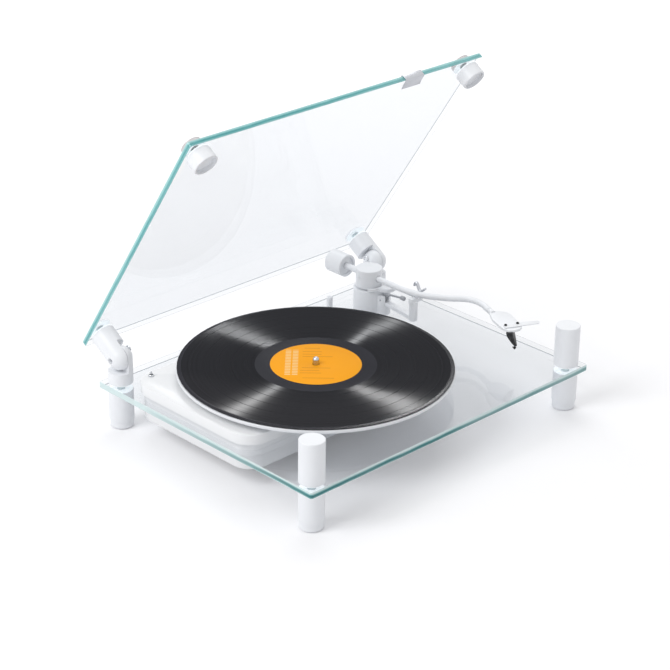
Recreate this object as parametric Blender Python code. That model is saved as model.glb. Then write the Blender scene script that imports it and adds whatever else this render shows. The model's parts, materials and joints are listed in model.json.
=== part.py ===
"""Turntable on a glass plate with a hinged glass lid, built as separate pieces, in metres."""
import math

import bmesh
import bpy
from mathutils import Matrix, Vector

# Clearances shared by the whole object
gap = 0.0003
overrun = 0.002
edge_break = 0.0006

# Round pieces: how many sides each size of circle has
fine_sides = 72
round_sides = 28
small_sides = 16
tiny_sides = 8
tube_sides = 10
dome_steps = 6
glass_corner_steps = 3
sharp_angle = 40.0

# The two glass plates, the upper face of the base plate given over the table
glass_width = 0.4261
glass_depth = 0.3362
glass_corner = 0.003
base_glass_thickness = 0.0072
base_glass_top = 0.0526
lid_glass_thickness = 0.0062

# Legs under the base plate and posts on it, clamped to each other through the glass
post_radius = 0.0138
post_inset_x = 0.0172
post_inset_y = 0.0175
front_post_top = 0.1008
foot_radius = 0.0129
foot_height = 0.0075
pad_radius = 0.0112
pad_thickness = 0.0015
stud_radius = 0.004
stud_reach = 0.011

# Hinges: half lapped knuckles of the post's own radius, turning on a bolt along X
pivot_height = 0.082
lid_rise = 0.0384
lid_open_angle = 57.05
knuckle_gap = 0.0008
lap_gap = 0.0006
bolt_radius = 0.003
bolt_head_radius = 0.0038
bolt_head_depth = 0.0016
bolt_tip_short = 0.0055

# Lid fittings
cap_radius = 0.0115
cap_thickness = 0.0035
cap_stud_radius = 0.0035
cap_stud_reach = 0.009
bumper_wall = 0.0019
bumper_recess = 0.0045
bumper_rest_gap = 0.0006
clip_from_right = 0.110
clip_width = 0.028
clip_sheet = 0.0011
clip_outer_leg = 0.012
clip_inner_leg = 0.0165
clip_lip = 0.0035

# Body: a shell on the glass and a tub under it, joined through an opening in the glass
deck_width = 0.2795
deck_depth = 0.189
deck_left_margin = 0.01355
deck_post_clearance = 0.0078
deck_height = 0.0121
deck_corner = 0.026
deck_top_edge = 0.0015
shell_wall = 0.0025
deck_seat = 0.012
tub_inset = 0.0035
tub_bottom = 0.0215
tub_bottom_edge = 0.004
corner_steps = 6

# Platter group
platter_from_deck_left = 0.1548
platter_from_deck_back = 0.1275
record_radius = 0.1508
record_thickness = 0.0016
record_bevel = 0.0035
record_bevel_drop = 0.0004
label_radius = 0.050
label_step = 0.0002
platter_lip = 0.0012
platter_thickness = 0.0036
platter_boss_radius = 0.045
platter_boss_depth = 0.0045
record_top = 0.0781
spindle_radius = 0.0037
spindle_rise = 0.0085
hub_radius = 0.012
hub_hole_clearance = 0.0025
sub_platter_radius = 0.047
sub_platter_thickness = 0.006
sub_platter_over_glass = 0.0014

# Bearing, motor and belt
bush_radius = 0.009
bush_flange_radius = 0.017
bush_flange_thickness = 0.003
bush_below_platter = 0.001
motor_radius = 0.0165
motor_height = 0.021
motor_offset = 0.100
pulley_radius = 0.0065
pulley_flange = 0.0012
pulley_flange_thickness = 0.001
motor_shaft_radius = 0.001
belt_slack = 0.0005
belt_thickness = 0.0008
belt_height = 0.004

# Bosses of the shell, and the screws that hold the tub to them
column_radius = 0.005
column_from_seat = 0.014
screw_radius = 0.0018
screw_head_radius = 0.0032
screw_head_depth = 0.0016
screw_reach = 0.012

# Switch near the rear left corner of the body
switch_from_left = 0.0215
switch_from_back = 0.009
switch_collar_radius = 0.0029
switch_collar_bore = 0.0019
switch_collar_rise = 0.0019
switch_lever_radius = 0.0009
switch_ball_radius = 0.0015
switch_lever_length = 0.0055
switch_tip_radius = 0.0013
switch_body_width = 0.010
switch_body_depth = 0.012
switch_body_height = 0.005
switch_wall_room = 0.004
switch_throat = 0.001

# Circuit board with its parts
board_width = 0.060
board_depth = 0.042
board_thickness = 0.0016
board_from_right = 0.040
board_from_back = 0.050
board_standoff_radius = 0.003
board_standoff_height = 0.006
board_edge = 0.005
chip_size = 0.009
chip_height = 0.0016
capacitor_radius = 0.0032
capacitor_height = 0.008
plug_block_width = 0.012
plug_block_depth = 0.006
plug_block_height = 0.007

# Sockets in the rear wall of the tub
socket_pitch = 0.018
socket_from_right = 0.075
socket_height = 0.012
socket_radius = 0.0042
socket_bore = 0.0017
socket_flange_radius = 0.0065
socket_flange_thickness = 0.0012
socket_reach = 0.009
socket_tail = 0.006
inlet_radius = 0.0055
inlet_bore = 0.0028
inlet_pin_radius = 0.001
inlet_depth = 0.008
terminal_radius = 0.0022
terminal_nut_radius = 0.0046
terminal_nut_length = 0.005

# Tonearm pedestal: a column and a lift block on the glass, with a rest bracket under the arm
arm_from_right = 0.07705
arm_from_back = 0.0671
arm_height = 0.0971
column_base_radius = 0.018
column_top = 0.083
arm_nut_stud = 0.005
nut_radius = 0.009
nut_thickness = 0.004
lift_block_radius = 0.0095
lift_block_x = 0.0062
lift_block_y = -0.0168
lift_block_top = 0.0772
bracket_width = 0.007
bracket_bottom = 0.0655
bracket_thickness = 0.0045
rest_x = -0.0014
rest_y = -0.0737
rest_post_radius = 0.005
rest_post_top = 0.0888
arm_axle_radius = 0.0038
arm_axle_top = 0.0925
earth_post_x = -0.0275
earth_post_y = 0.037
earth_post_radius = 0.0036
earth_post_height = 0.0125

# Arm rest cradle and its clip
cradle_width = 0.0055
cradle_clear = 0.0006
cradle_jaw = 0.0016
cradle_floor = 0.0022
clip_from_rest = 0.0111
clip_leaf = 0.0012
clip_line = 0.0011
clip_dip = 0.0083
clip_rear_reach = 0.0105
clip_rear_rise = 0.0075
clip_front_reach = 0.0085
clip_front_rise = 0.0065

# Arm bearing
housing_radius = 0.0156
housing_bottom = 0.0848
housing_top = 0.107
housing_roof = 0.0035
housing_wall = 0.0028
cup_clearance = 0.0014
cup_rise = 0.0018
bearing_pin_radius = 0.0013
ear_out_share = 0.92
ear_in_share = 0.62
ear_middle_share = 0.8

# Arm tube: its plan, as shares of the reach, and the rear rod with its weight
tube_radius = 0.0035
tube_reach = 0.172
tube_root = 0.0145
tube_plan_shares = ((0.0, -0.085), (-0.003, -0.15), (-0.006, -0.244), (-0.003, -0.349), (0.012, -0.43),
                    (0.052, -0.529), (0.128, -0.64), (0.186, -0.7), (0.213, -0.757), (0.212, -0.837),
                    (0.172, -0.942))
tube_steps = 4
rod_radius = 0.0038
rod_length = 0.0475
weight_radius = 0.0135
weight_start = 0.036
weight_length = 0.025
weight_face_step = 0.0025
weight_face_inset = 0.003

# Headshell: an outline in shares of its length, from the tube's end towards the stylus
head_length = 0.052
head_thickness = 0.0026
head_top = 0.0985
head_outline_shares = ((0.0, -0.06), (0.045, 0.05), (0.11, 0.16), (0.2, 0.245), (0.34, 0.27), (0.56, 0.225),
                       (0.82, 0.17), (0.98, 0.12), (1.05, 0.02), (1.055, -0.11), (0.99, -0.235),
                       (0.86, -0.29),
                       (0.62, -0.265), (0.38, -0.235), (0.15, -0.145))
head_start_x = 0.0292
head_start_y = -0.166
head_yaw = 15.0
neck_length = 0.008
head_screw_pitch = 0.0148
head_screw_x = 0.01605
head_screw_y = -0.20675
head_screw_radius = 0.001
head_screw_head = 0.0016
head_screw_head_height = 0.0011
finger_thickness = 0.001
finger_length = 0.0432
finger_yaw = 22.0
finger_outline_shares = ((-0.065, -0.205), (0.125, -0.24), (0.139, 0.0), (0.15, 0.238), (0.178, 0.7),
                         (0.095, 0.757), (0.03, 0.738), (-0.055, 0.285))

# Cartridge and stylus: a body that narrows and leans forward on its way down to the tip
cartridge_x = 0.0065
cartridge_y = -0.2102
cartridge_yaw = 24.0
cartridge_width = 0.0095
cartridge_length = 0.0085
cartridge_height = 0.0152
cartridge_form_shares = ((0.0, 0.0, 1.0), (0.3, 0.16, 0.96), (0.65, 0.5, 0.8), (1.0, 1.0, 0.5))
tip_x = 0.0045
tip_y = -0.2224
tip_clear = 0.0005
tip_from_body_x = 0.0023
tip_from_body_y = 0.0023
stylus_width = 0.0036
stylus_point = 0.0008
stylus_lean_share = 0.3

# Cue lift
platform_radius = 0.0125
platform_x = 0.009
platform_y = -0.0195
platform_top = 0.088
platform_thickness = 0.0046
platform_travel_room = 0.001
platform_arc_outer = 0.0213
platform_arc_inner = 0.0183
platform_arc_thickness = 0.003
platform_arc_start = -140.0
platform_arc_end = -70.0
lift_stem_radius = 0.0022
lift_stem_reach = 0.010
lift_stem_x = 0.0053
lift_stem_y = -0.0007
lever_boss_radius = 0.003
lever_boss_width = 0.0046
lever_offset_x = -0.0016
lever_pivot_back = 0.0042
lever_pivot_height = 0.0725
lever_rod_radius = 0.0013
lever_length = 0.030
lever_rise = 0.0105
lever_bend_share = 0.75
lever_pin_seat = 0.002
lever_knob_radius = 0.0026
lever_knob_length = 0.006
lever_pin_radius = 0.0008


# Heights and places that follow from the sizes above
base_glass_bottom = base_glass_top - base_glass_thickness
post_x = glass_width / 2 - post_inset_x
post_y = glass_depth / 2 - post_inset_y
glass_on = base_glass_top + gap
post_base = glass_on
lid_inner = lid_rise - lid_glass_thickness / 2
lid_outer = lid_rise + lid_glass_thickness / 2
open_turn = math.radians(lid_open_angle)
plate_back_reach = (post_inset_y - edge_break) * math.cos(open_turn) + lid_outer * math.sin(open_turn)
cap_outer = lid_outer + gap + cap_thickness
cap_back_reach = (cap_radius - edge_break) * math.cos(open_turn) + cap_outer * math.sin(open_turn)
rear_reach = post_y + max(plate_back_reach, cap_back_reach)
glass_centre_y = -(rear_reach - glass_depth / 2) / 2

deck_left = -glass_width / 2 + deck_left_margin
deck_right = deck_left + deck_width
deck_back = post_y - post_radius - deck_post_clearance
deck_front = deck_back - deck_depth
deck_top = glass_on + deck_height
deck_under = deck_top - shell_wall
tub_top = base_glass_bottom - gap
tub_floor = tub_bottom + shell_wall
platter_x = deck_left + platter_from_deck_left
platter_y = deck_back - platter_from_deck_back
record_bottom = record_top - record_thickness
platter_top = record_bottom - gap
platter_bottom = platter_top - platter_thickness
boss_bottom = platter_bottom - platter_boss_depth
sub_bottom = base_glass_top + sub_platter_over_glass
sub_top = sub_bottom + sub_platter_thickness
bore_radius = spindle_radius + gap
bush_top = sub_bottom - bush_below_platter
shaft_end = tub_floor + gap + bush_flange_thickness
motor_x = platter_x - motor_offset
arm_x = glass_width / 2 - arm_from_right
arm_y = glass_depth / 2 - arm_from_back


def clear_scene():
    for old in list(bpy.data.objects):
        bpy.data.objects.remove(old, do_unlink=True)


def finish(name, colour, roughness, metallic=0.0, alpha=1.0):
    """A Principled material; the colour is given as linear red, green and blue."""
    made = bpy.data.materials.new(name)
    made.use_nodes = True
    shader = made.node_tree.nodes["Principled BSDF"]
    shader.inputs["Base Color"].default_value = (*colour, 1.0)
    shader.inputs["Roughness"].default_value = roughness
    shader.inputs["Metallic"].default_value = metallic
    shader.inputs["Alpha"].default_value = alpha
    made.diffuse_color = (*colour, alpha)
    return made


def joint_frame(name, place, parent=None, turn=0.0):
    """An empty on a joint's axis; a turn in radians about X sets the pose at rest."""
    frame = bpy.data.objects.new(name, None)
    bpy.context.scene.collection.objects.link(frame)
    frame.location = place
    frame.rotation_euler = (turn, 0.0, 0.0)
    frame.parent = parent
    return frame


def circle(radius, sides, centre=(0.0, 0.0), start=0.0):
    step = math.tau / sides
    return [(centre[0] + radius * math.cos(start + step * i),
             centre[1] + radius * math.sin(start + step * i))
            for i in range(sides)]


def rounded_rectangle(x0, x1, y0, y1, radius, steps=corner_steps):
    points = []
    corners = ((x1 - radius, y1 - radius, 0), (x0 + radius, y1 - radius, 1),
               (x0 + radius, y0 + radius, 2), (x1 - radius, y0 + radius, 3))
    for cx, cy, quarter in corners:
        for i in range(steps + 1):
            angle = (quarter + i / steps) * math.pi / 2
            points.append((cx + radius * math.cos(angle), cy + radius * math.sin(angle)))
    return points


def along_z(points, height):
    return [Vector((x, y, height)) for x, y in points]


def along_x(points, place):
    return [Vector((place, y, z)) for y, z in points]


def along_y(points, place):
    return [Vector((x, place, z)) for x, z in points]


def stack(loops, into=None):
    """A closed solid through loops of equal length, with a flat cap on each end."""
    mesh = into or bmesh.new()
    rings = [[mesh.verts.new(point) for point in loop] for loop in loops]
    count = len(loops[0])
    for lower, upper in zip(rings, rings[1:]):
        for i in range(count):
            mesh.faces.new((lower[i], lower[(i + 1) % count], upper[(i + 1) % count], upper[i]))
    mesh.faces.new(list(reversed(rings[0])))
    mesh.faces.new(rings[-1])
    return mesh


def hollow(outer, inner, low, high, into=None):
    """An upright ring between two outlines of equal length."""
    mesh = into or bmesh.new()
    count = len(outer)
    sets = [[mesh.verts.new(p) for p in along_z(line, z)]
            for line, z in ((outer, low), (outer, high), (inner, high), (inner, low))]
    for a, b in zip(sets, sets[1:] + sets[:1]):
        for i in range(count):
            mesh.faces.new((a[i], a[(i + 1) % count], b[(i + 1) % count], b[i]))
    return mesh


def turned(profile, sides=round_sides, centre=(0.0, 0.0), into=None):
    """A solid of revolution about Z from a closed profile of radius and height."""
    part = bmesh.new()
    verts = [part.verts.new((radius, 0.0, height)) for radius, height in profile]
    edges = [part.edges.new((verts[i], verts[(i + 1) % len(verts)])) for i in range(len(verts))
             if not (profile[i][0] == 0 and profile[(i + 1) % len(verts)][0] == 0)]
    bmesh.ops.spin(part, geom=verts + edges, cent=(0, 0, 0), axis=(0, 0, 1), angle=math.tau, steps=sides)
    bmesh.ops.remove_doubles(part, verts=part.verts[:], dist=gap / 100)
    bmesh.ops.translate(part, vec=(centre[0], centre[1], 0.0), verts=part.verts[:])
    if into is None:
        return part
    return merge(into, part)


def merge(into, part):
    holder = bpy.data.meshes.new("holder")
    part.to_mesh(holder)
    into.from_mesh(holder)
    bpy.data.meshes.remove(holder)
    part.free()
    return into


def rod(radius, low, high, sides=small_sides, centre=(0.0, 0.0), edge=0.0, into=None):
    """An upright cylinder whose two end edges are broken by a small chamfer."""
    profile = [(0.0, low), (radius - edge, low), (radius, low + edge), (radius, high - edge),
               (radius - edge, high), (0.0, high)]
    if edge == 0:
        profile = [(0.0, low), (radius, low), (radius, high), (0.0, high)]
    return turned(profile, sides, centre, into)


def laid(mesh, axis, place):
    """Lays an upright solid along +X or +Y and moves it to its place."""
    turn = Matrix.Rotation(math.pi / 2, 4, "Y") if axis == "X" else Matrix.Rotation(-math.pi / 2, 4, "X")
    bmesh.ops.transform(mesh, matrix=Matrix.Translation(place) @ turn, verts=mesh.verts[:])
    return mesh


def block(x0, x1, y0, y1, z0, z1, into=None):
    outline = [(x0, y0), (x1, y0), (x1, y1), (x0, y1)]
    return stack([along_z(outline, z0), along_z(outline, z1)], into)


def both(first, second):
    """Two separate solids in one mesh."""
    return merge(first, second)


def place_mesh(name, mesh, parent):
    bmesh.ops.remove_doubles(mesh, verts=mesh.verts[:], dist=gap / 100)
    bmesh.ops.recalc_face_normals(mesh, faces=mesh.faces[:])
    data = bpy.data.meshes.new(name)
    mesh.to_mesh(data)
    mesh.free()
    made = bpy.data.objects.new(name, data)
    bpy.context.scene.collection.objects.link(made)
    made.parent = parent
    return made


def piece(name, mesh, look, parent):
    """One named solid of the object."""
    made = place_mesh(name, mesh, parent)
    made.data.materials.append(look)
    made.data.shade_smooth()
    made.data.set_sharp_from_angle(angle=math.radians(sharp_angle))
    return made


def change(made, operation, mesh):
    """Cuts a solid from a piece, or joins or keeps what it shares with one."""
    tool = place_mesh(made.name + "_tool", mesh, made.parent)
    tool.hide_render = True
    tool.display_type = "WIRE"
    step = made.modifiers.new(operation.lower(), "BOOLEAN")
    step.operation = operation
    step.solver = "EXACT"
    step.object = tool
    return made


def cut(made, mesh):
    return change(made, "DIFFERENCE", mesh)


def join(made, mesh):
    return change(made, "UNION", mesh)


def base_plate(root, glass):
    half_w = glass_width / 2
    half_d = glass_depth / 2
    outline = rounded_rectangle(-half_w, half_w, -half_d, half_d, glass_corner, glass_corner_steps)
    inner = rounded_rectangle(-half_w + edge_break, half_w - edge_break, -half_d + edge_break,
                              half_d - edge_break, glass_corner - edge_break, glass_corner_steps)
    plate = piece("base_glass", stack([along_z(inner, base_glass_bottom),
                                       along_z(outline, base_glass_bottom + edge_break),
                                       along_z(outline, base_glass_top - edge_break),
                                       along_z(inner, base_glass_top)]), glass, root)
    low = base_glass_bottom - overrun
    high = base_glass_top + overrun
    opening = rounded_rectangle(deck_left + deck_seat, deck_right - deck_seat, deck_front + deck_seat,
                                deck_back - deck_seat, deck_corner - deck_seat)
    holes = stack([along_z(opening, low), along_z(opening, high)])
    for x, y in post_places():
        rod(stud_radius + gap, low, high, centre=(x, y), into=holes)
    rod(arm_nut_stud + gap, low, high, centre=(arm_x, arm_y), into=holes)
    cut(plate, holes)


def post_places():
    return [(sx * post_x, sy * post_y) for sy in (-1, 1) for sx in (-1, 1)]


def legs(root, paint):
    """Each leg stands on a slightly narrower foot with a soft tread, and is bored for the post's stud."""
    leg_top = base_glass_bottom - gap
    bore = stud_radius + gap
    bore_end = leg_top - stud_reach - gap
    foot_top = pad_thickness + foot_height
    profile = [(0.0, 0.0), (pad_radius, 0.0), (pad_radius, pad_thickness), (foot_radius, pad_thickness),
               (foot_radius, foot_top), (post_radius, foot_top + edge_break),
               (post_radius, leg_top - edge_break),
               (post_radius - edge_break, leg_top), (bore, leg_top), (bore, bore_end), (0.0, bore_end)]
    for name, place in zip(("leg_front_left", "leg_front_right", "leg_rear_left", "leg_rear_right"),
                           post_places()):
        piece(name, turned(profile, centre=place), paint, root)


def post_foot():
    """Half the outline of a post's lower end, with the stud that goes through the glass into the leg."""
    stud_low = base_glass_bottom - gap - stud_reach
    return [(0.0, stud_low), (stud_radius, stud_low), (stud_radius, post_base),
            (post_radius - edge_break, post_base), (post_radius, post_base + edge_break)]


def front_posts(root, paint):
    profile = post_foot() + [(post_radius, front_post_top - edge_break),
                             (post_radius - edge_break, front_post_top), (0.0, front_post_top)]
    for name, side in (("post_front_left", -1), ("post_front_right", 1)):
        piece(name, turned(profile, centre=(side * post_x, -post_y)), paint, root)


def round_end(level, sign):
    """Half the outline of a ball end about the given height, from its widest place to its pole."""
    turn = [math.pi / 2 * i / dome_steps for i in range(dome_steps)]
    return [(post_radius * math.cos(t), level + sign * post_radius * math.sin(t)) for t in turn] + [
        (0.0, level + sign * post_radius)]


def hinge_posts(root, paint, chrome):
    """Rear posts: full round up to a ledge, then an ear on the inner half, its end round about the pivot."""
    dome_top = pivot_height + post_radius
    ledge = pivot_height - post_radius - knuckle_gap
    for name, side in (("hinge_post_left", -1), ("hinge_post_right", 1)):
        x = side * post_x
        profile = post_foot() + round_end(pivot_height, 1)
        post = piece(name, turned(profile, centre=(x, post_y)), paint, root)
        lap = sorted((x + side * -lap_gap / 2, x + side * (post_radius + overrun)))
        cut(post, block(*lap, post_y - post_radius - overrun, post_y + post_radius + overrun,
                        ledge, dome_top + overrun))
        inner_face = x - side * post_radius
        head_seat = inner_face + side * bolt_head_depth
        reach = sorted((inner_face - side * overrun, x + side * overrun))
        hole = rod(bolt_radius + gap, 0.0, reach[1] - reach[0])
        seat = sorted((inner_face - side * overrun, head_seat))
        cut(post, laid(hole, "X", (reach[0], post_y, pivot_height)))
        counterbore = rod(bolt_head_radius + gap, 0.0, seat[1] - seat[0])
        cut(post, laid(counterbore, "X", (seat[0], post_y, pivot_height)))
        bolt_profile = [(0.0, 0.0), (bolt_head_radius - edge_break, 0.0), (bolt_head_radius, edge_break),
                        (bolt_head_radius, bolt_head_depth + edge_break),
                        (bolt_radius, bolt_head_depth + edge_break),
                        (bolt_radius, bolt_head_depth + 2 * post_radius - bolt_tip_short),
                        (0.0, bolt_head_depth + 2 * post_radius - bolt_tip_short)]
        bolt = turned(bolt_profile, small_sides)
        if side < 0:
            bmesh.ops.rotate(bolt, verts=bolt.verts[:], matrix=Matrix.Rotation(math.pi, 3, "Y"))
        start = head_seat - side * (bolt_head_depth + edge_break + gap)
        piece(name.replace("post", "bolt"), laid(bolt, "X", (start, post_y, pivot_height)), chrome, root)


def lid(hinge, glass, paint, metal):
    """The glass lid and what is fixed to it, in the closed pose about the hinge axis."""
    half_w = glass_width / 2
    front = post_inset_y - glass_depth
    outline = rounded_rectangle(-half_w, half_w, front, post_inset_y, glass_corner, glass_corner_steps)
    inner = rounded_rectangle(-half_w + edge_break, half_w - edge_break, front + edge_break,
                              post_inset_y - edge_break, glass_corner - edge_break, glass_corner_steps)
    plate = piece("lid_glass", stack([along_z(inner, lid_inner), along_z(outline, lid_inner + edge_break),
                                      along_z(outline, lid_outer - edge_break), along_z(inner, lid_outer)]),
                  glass, hinge)
    bumper_y = 2 * post_inset_y - glass_depth
    places = [(sx * post_x, y) for y in (bumper_y, 0.0) for sx in (-1, 1)]
    bore = cap_stud_radius + gap
    holes = bmesh.new()
    seat = lid_inner - gap
    stud_low = seat - cap_stud_reach
    cap_low = lid_outer + gap
    cap_profile = [(0.0, stud_low), (cap_stud_radius, stud_low), (cap_stud_radius, cap_low),
                   (cap_radius, cap_low),
                   (cap_radius, cap_low + cap_thickness - edge_break),
                   (cap_radius - edge_break, cap_low + cap_thickness), (0.0, cap_low + cap_thickness)]
    names = ("lid_cap_front_left", "lid_cap_front_right", "lid_cap_rear_left", "lid_cap_rear_right")
    for name, (x, y) in zip(names, places):
        rod(bore, lid_inner - overrun, lid_outer + overrun, centre=(x, y), into=holes)
        piece(name, turned(cap_profile, centre=(x, y)), paint, hinge)
    cut(plate, holes)

    bumper_low = front_post_top + bumper_rest_gap - pivot_height
    for name, (x, y) in zip(("bumper_left", "bumper_right"), places[:2]):
        inside = post_radius - bumper_wall
        profile = [(bore, seat), (post_radius - edge_break, seat), (post_radius, seat - edge_break),
                   (post_radius, bumper_low + edge_break), (post_radius - edge_break, bumper_low),
                   (inside, bumper_low), (inside, bumper_low + bumper_recess),
                   (0.0, bumper_low + bumper_recess), (0.0, stud_low - gap), (bore, stud_low - gap)]
        piece(name, turned(profile, centre=(x, y)), paint, hinge)

    shoulder = post_radius + knuckle_gap
    for name, (x, y), side in zip(("hinge_clamp_left", "hinge_clamp_right"), places[2:], (-1, 1)):
        profile = [(bore, seat), (post_radius - edge_break, seat), (post_radius, seat - edge_break)]
        profile += round_end(0.0, -1) + [(0.0, stud_low - gap), (bore, stud_low - gap)]
        clamp = piece(name, turned(profile, centre=(x, y)), paint, hinge)
        lap = sorted((x + side * lap_gap / 2, x - side * (post_radius + overrun)))
        cut(clamp, block(*lap, -post_radius - overrun, post_radius + overrun, -post_radius - overrun,
                         shoulder))
        reach = sorted((x - side * overrun, x + side * (post_radius + overrun)))
        cut(clamp, laid(rod(bolt_radius + gap, 0.0, reach[1] - reach[0]), "X", (reach[0], 0.0, 0.0)))

    clip_x = half_w - clip_from_right
    outside = lid_outer + gap
    inside = lid_inner - gap
    tip = front - gap
    outline = [(tip - clip_sheet, inside - clip_sheet), (tip + clip_inner_leg, inside - clip_sheet),
               (tip + clip_inner_leg + clip_lip, inside - clip_sheet - clip_lip),
               (tip + clip_inner_leg + clip_lip, inside - clip_lip),
               (tip + clip_inner_leg, inside), (tip, inside), (tip, outside),
               (tip + clip_outer_leg, outside),
               (tip + clip_outer_leg, outside + clip_sheet), (tip - clip_sheet, outside + clip_sheet)]
    clip = stack([along_x(outline, clip_x - clip_width / 2), along_x(outline, clip_x + clip_width / 2)])
    piece("finger_clip", clip, metal, hinge)


def body_shells(root, paint, steel):
    """The shell on the glass with its four screw bosses, and the tub that is screwed to it from below."""
    def outline(inset):
        return rounded_rectangle(deck_left + inset, deck_right - inset, deck_front + inset,
                                 deck_back - inset,
                                 deck_corner - inset)

    shell = piece("deck_shell", stack([along_z(outline(0.0), glass_on),
                                       along_z(outline(0.0), deck_top - deck_top_edge),
                                       along_z(outline(deck_top_edge / 3), deck_top - deck_top_edge / 3),
                                       along_z(outline(deck_top_edge), deck_top)]), paint, root)
    inner = outline(shell_wall)
    cut(shell, stack([along_z(inner, glass_on - overrun), along_z(inner, deck_under)]))
    holes = rod(hub_radius + hub_hole_clearance, deck_under - overrun, deck_top + overrun,
                centre=(platter_x, platter_y))
    rod(switch_collar_radius + gap, deck_under - overrun, deck_top + overrun,
        centre=(deck_left + switch_from_left, deck_back - switch_from_back), into=holes)
    cut(shell, holes)

    low_edge = tub_bottom_edge
    tub = piece("tub", stack([along_z(outline(tub_inset + low_edge), tub_bottom),
                              along_z(outline(tub_inset + low_edge / 4), tub_bottom + low_edge / 4),
                              along_z(outline(tub_inset), tub_bottom + low_edge),
                              along_z(outline(tub_inset), tub_top)]), paint, root)
    hollow_line = outline(tub_inset + low_edge)
    cut(tub, stack([along_z(hollow_line, tub_floor), along_z(hollow_line, tub_top + overrun)]))

    columns = bmesh.new()
    bores = bmesh.new()
    holes = bmesh.new()
    bore = screw_radius + gap
    low = tub_floor + gap
    head_low = tub_bottom + gap
    head_high = head_low + screw_head_depth
    bore_end = low + screw_reach
    inset = deck_seat + column_from_seat
    corners = [(x, y) for y in (deck_front + inset, deck_back - inset)
               for x in (deck_left + inset, deck_right - inset)]
    names = ("tub_screw_front_left", "tub_screw_front_right", "tub_screw_rear_left", "tub_screw_rear_right")
    for name, place in zip(names, corners):
        rod(column_radius, low, (deck_under + deck_top) / 2, small_sides, place, into=columns)
        rod(bore, low - overrun, bore_end, tiny_sides, place, into=bores)
        turned([(0.0, tub_bottom - overrun), (screw_head_radius + gap, tub_bottom - overrun),
                (screw_head_radius + gap, head_high), (bore, head_high), (bore, tub_floor + overrun),
                (0.0, tub_floor + overrun)], small_sides, place, holes)
        screw = turned([(0.0, head_low), (screw_head_radius, head_low),
                        (screw_head_radius, head_high - gap),
                        (screw_radius, head_high - gap), (screw_radius, bore_end - gap),
                        (0.0, bore_end - gap)],
                       small_sides, place)
        piece(name, screw, steel, root)
    join(shell, columns)
    cut(shell, bores)
    cut(tub, holes)
    return tub


def platter_group(root, spin, rim_paint, vinyl, steel, brass):
    record_rim = record_radius - record_bevel
    groove = record_top - label_step
    profile = [(bore_radius, record_bottom), (record_radius - edge_break, record_bottom),
               (record_radius, record_bottom + edge_break),
               (record_radius, record_top - record_bevel_drop * 2),
               (record_rim, record_top - record_bevel_drop), (record_rim - edge_break, record_top),
               (label_radius + edge_break, record_top), (label_radius, groove), (bore_radius, groove)]
    piece("record", turned(profile, fine_sides), vinyl, spin)
    outer = record_radius + platter_lip
    profile = [(bore_radius, boss_bottom), (platter_boss_radius, boss_bottom),
               (platter_boss_radius + platter_boss_depth, platter_bottom),
               (outer - edge_break, platter_bottom),
               (outer, platter_bottom + edge_break), (outer, platter_top - edge_break),
               (outer - edge_break, platter_top), (bore_radius, platter_top)]
    piece("platter", turned(profile, fine_sides), rim_paint, spin)
    profile = [(bore_radius, sub_bottom), (sub_platter_radius, sub_bottom), (sub_platter_radius, sub_top),
               (hub_radius, sub_top), (hub_radius, boss_bottom - gap), (bore_radius, boss_bottom - gap)]
    piece("sub_platter", turned(profile, fine_sides), rim_paint, spin)
    dome_base = record_top + spindle_rise - spindle_radius
    dome = [(spindle_radius * math.cos(math.pi / 2 * i / dome_steps),
             dome_base + spindle_radius * math.sin(math.pi / 2 * i / dome_steps)) for i in range(dome_steps)]
    profile = [(0.0, shaft_end + gap), (spindle_radius, shaft_end + gap)] + dome
    profile.append((0.0, dome_base + spindle_radius))
    piece("spindle", turned(profile, small_sides), steel, spin)

    here = (platter_x, platter_y)
    low = tub_floor + gap
    flange = low + bush_flange_thickness
    profile = [(0.0, low), (bush_flange_radius, low), (bush_flange_radius, flange), (bush_radius, flange),
               (bush_radius, bush_top), (bore_radius, bush_top), (bore_radius, flange), (0.0, flange)]
    piece("bearing_bush", turned(profile, round_sides, here), brass, root)


def drive(root, motor_spin, dark, brass, rubber):
    here = (motor_x, platter_y)
    low = tub_floor + gap
    high = low + motor_height
    piece("motor", rod(motor_radius, low, high, round_sides, here, edge_break), dark, root)
    pulley_low = sub_bottom - pulley_flange_thickness
    pulley_high = sub_top
    bottom = high + gap
    lip = pulley_radius + pulley_flange
    profile = [(0.0, bottom), (motor_shaft_radius, bottom), (motor_shaft_radius, pulley_low),
               (lip, pulley_low), (lip, sub_bottom), (pulley_radius, sub_bottom),
               (pulley_radius, pulley_high),
               (lip, pulley_high), (lip, pulley_high + pulley_flange_thickness),
               (0.0, pulley_high + pulley_flange_thickness)]
    piece("motor_pulley", turned(profile, round_sides), brass, motor_spin)

    def wrap(extra):
        """An outline round both wheels, with straight runs between them."""
        big = sub_platter_radius + extra
        small = pulley_radius + extra
        lean = math.acos((big - small) / motor_offset)
        points = []
        for i in range(round_sides + 1):
            angle = (math.pi - lean) * (1 - 2 * i / round_sides)
            points.append((platter_x + big * math.cos(angle), platter_y + big * math.sin(angle)))
        for i in range(small_sides + 1):
            angle = -(math.pi - lean) - 2 * lean * i / small_sides
            points.append((motor_x + small * math.cos(angle), platter_y + small * math.sin(angle)))
        return points

    middle = (sub_bottom + sub_top) / 2
    inner = wrap(belt_slack)
    outer = wrap(belt_slack + belt_thickness)
    piece("drive_belt", hollow(outer, inner, middle - belt_height / 2, middle + belt_height / 2),
          rubber, root)


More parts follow.
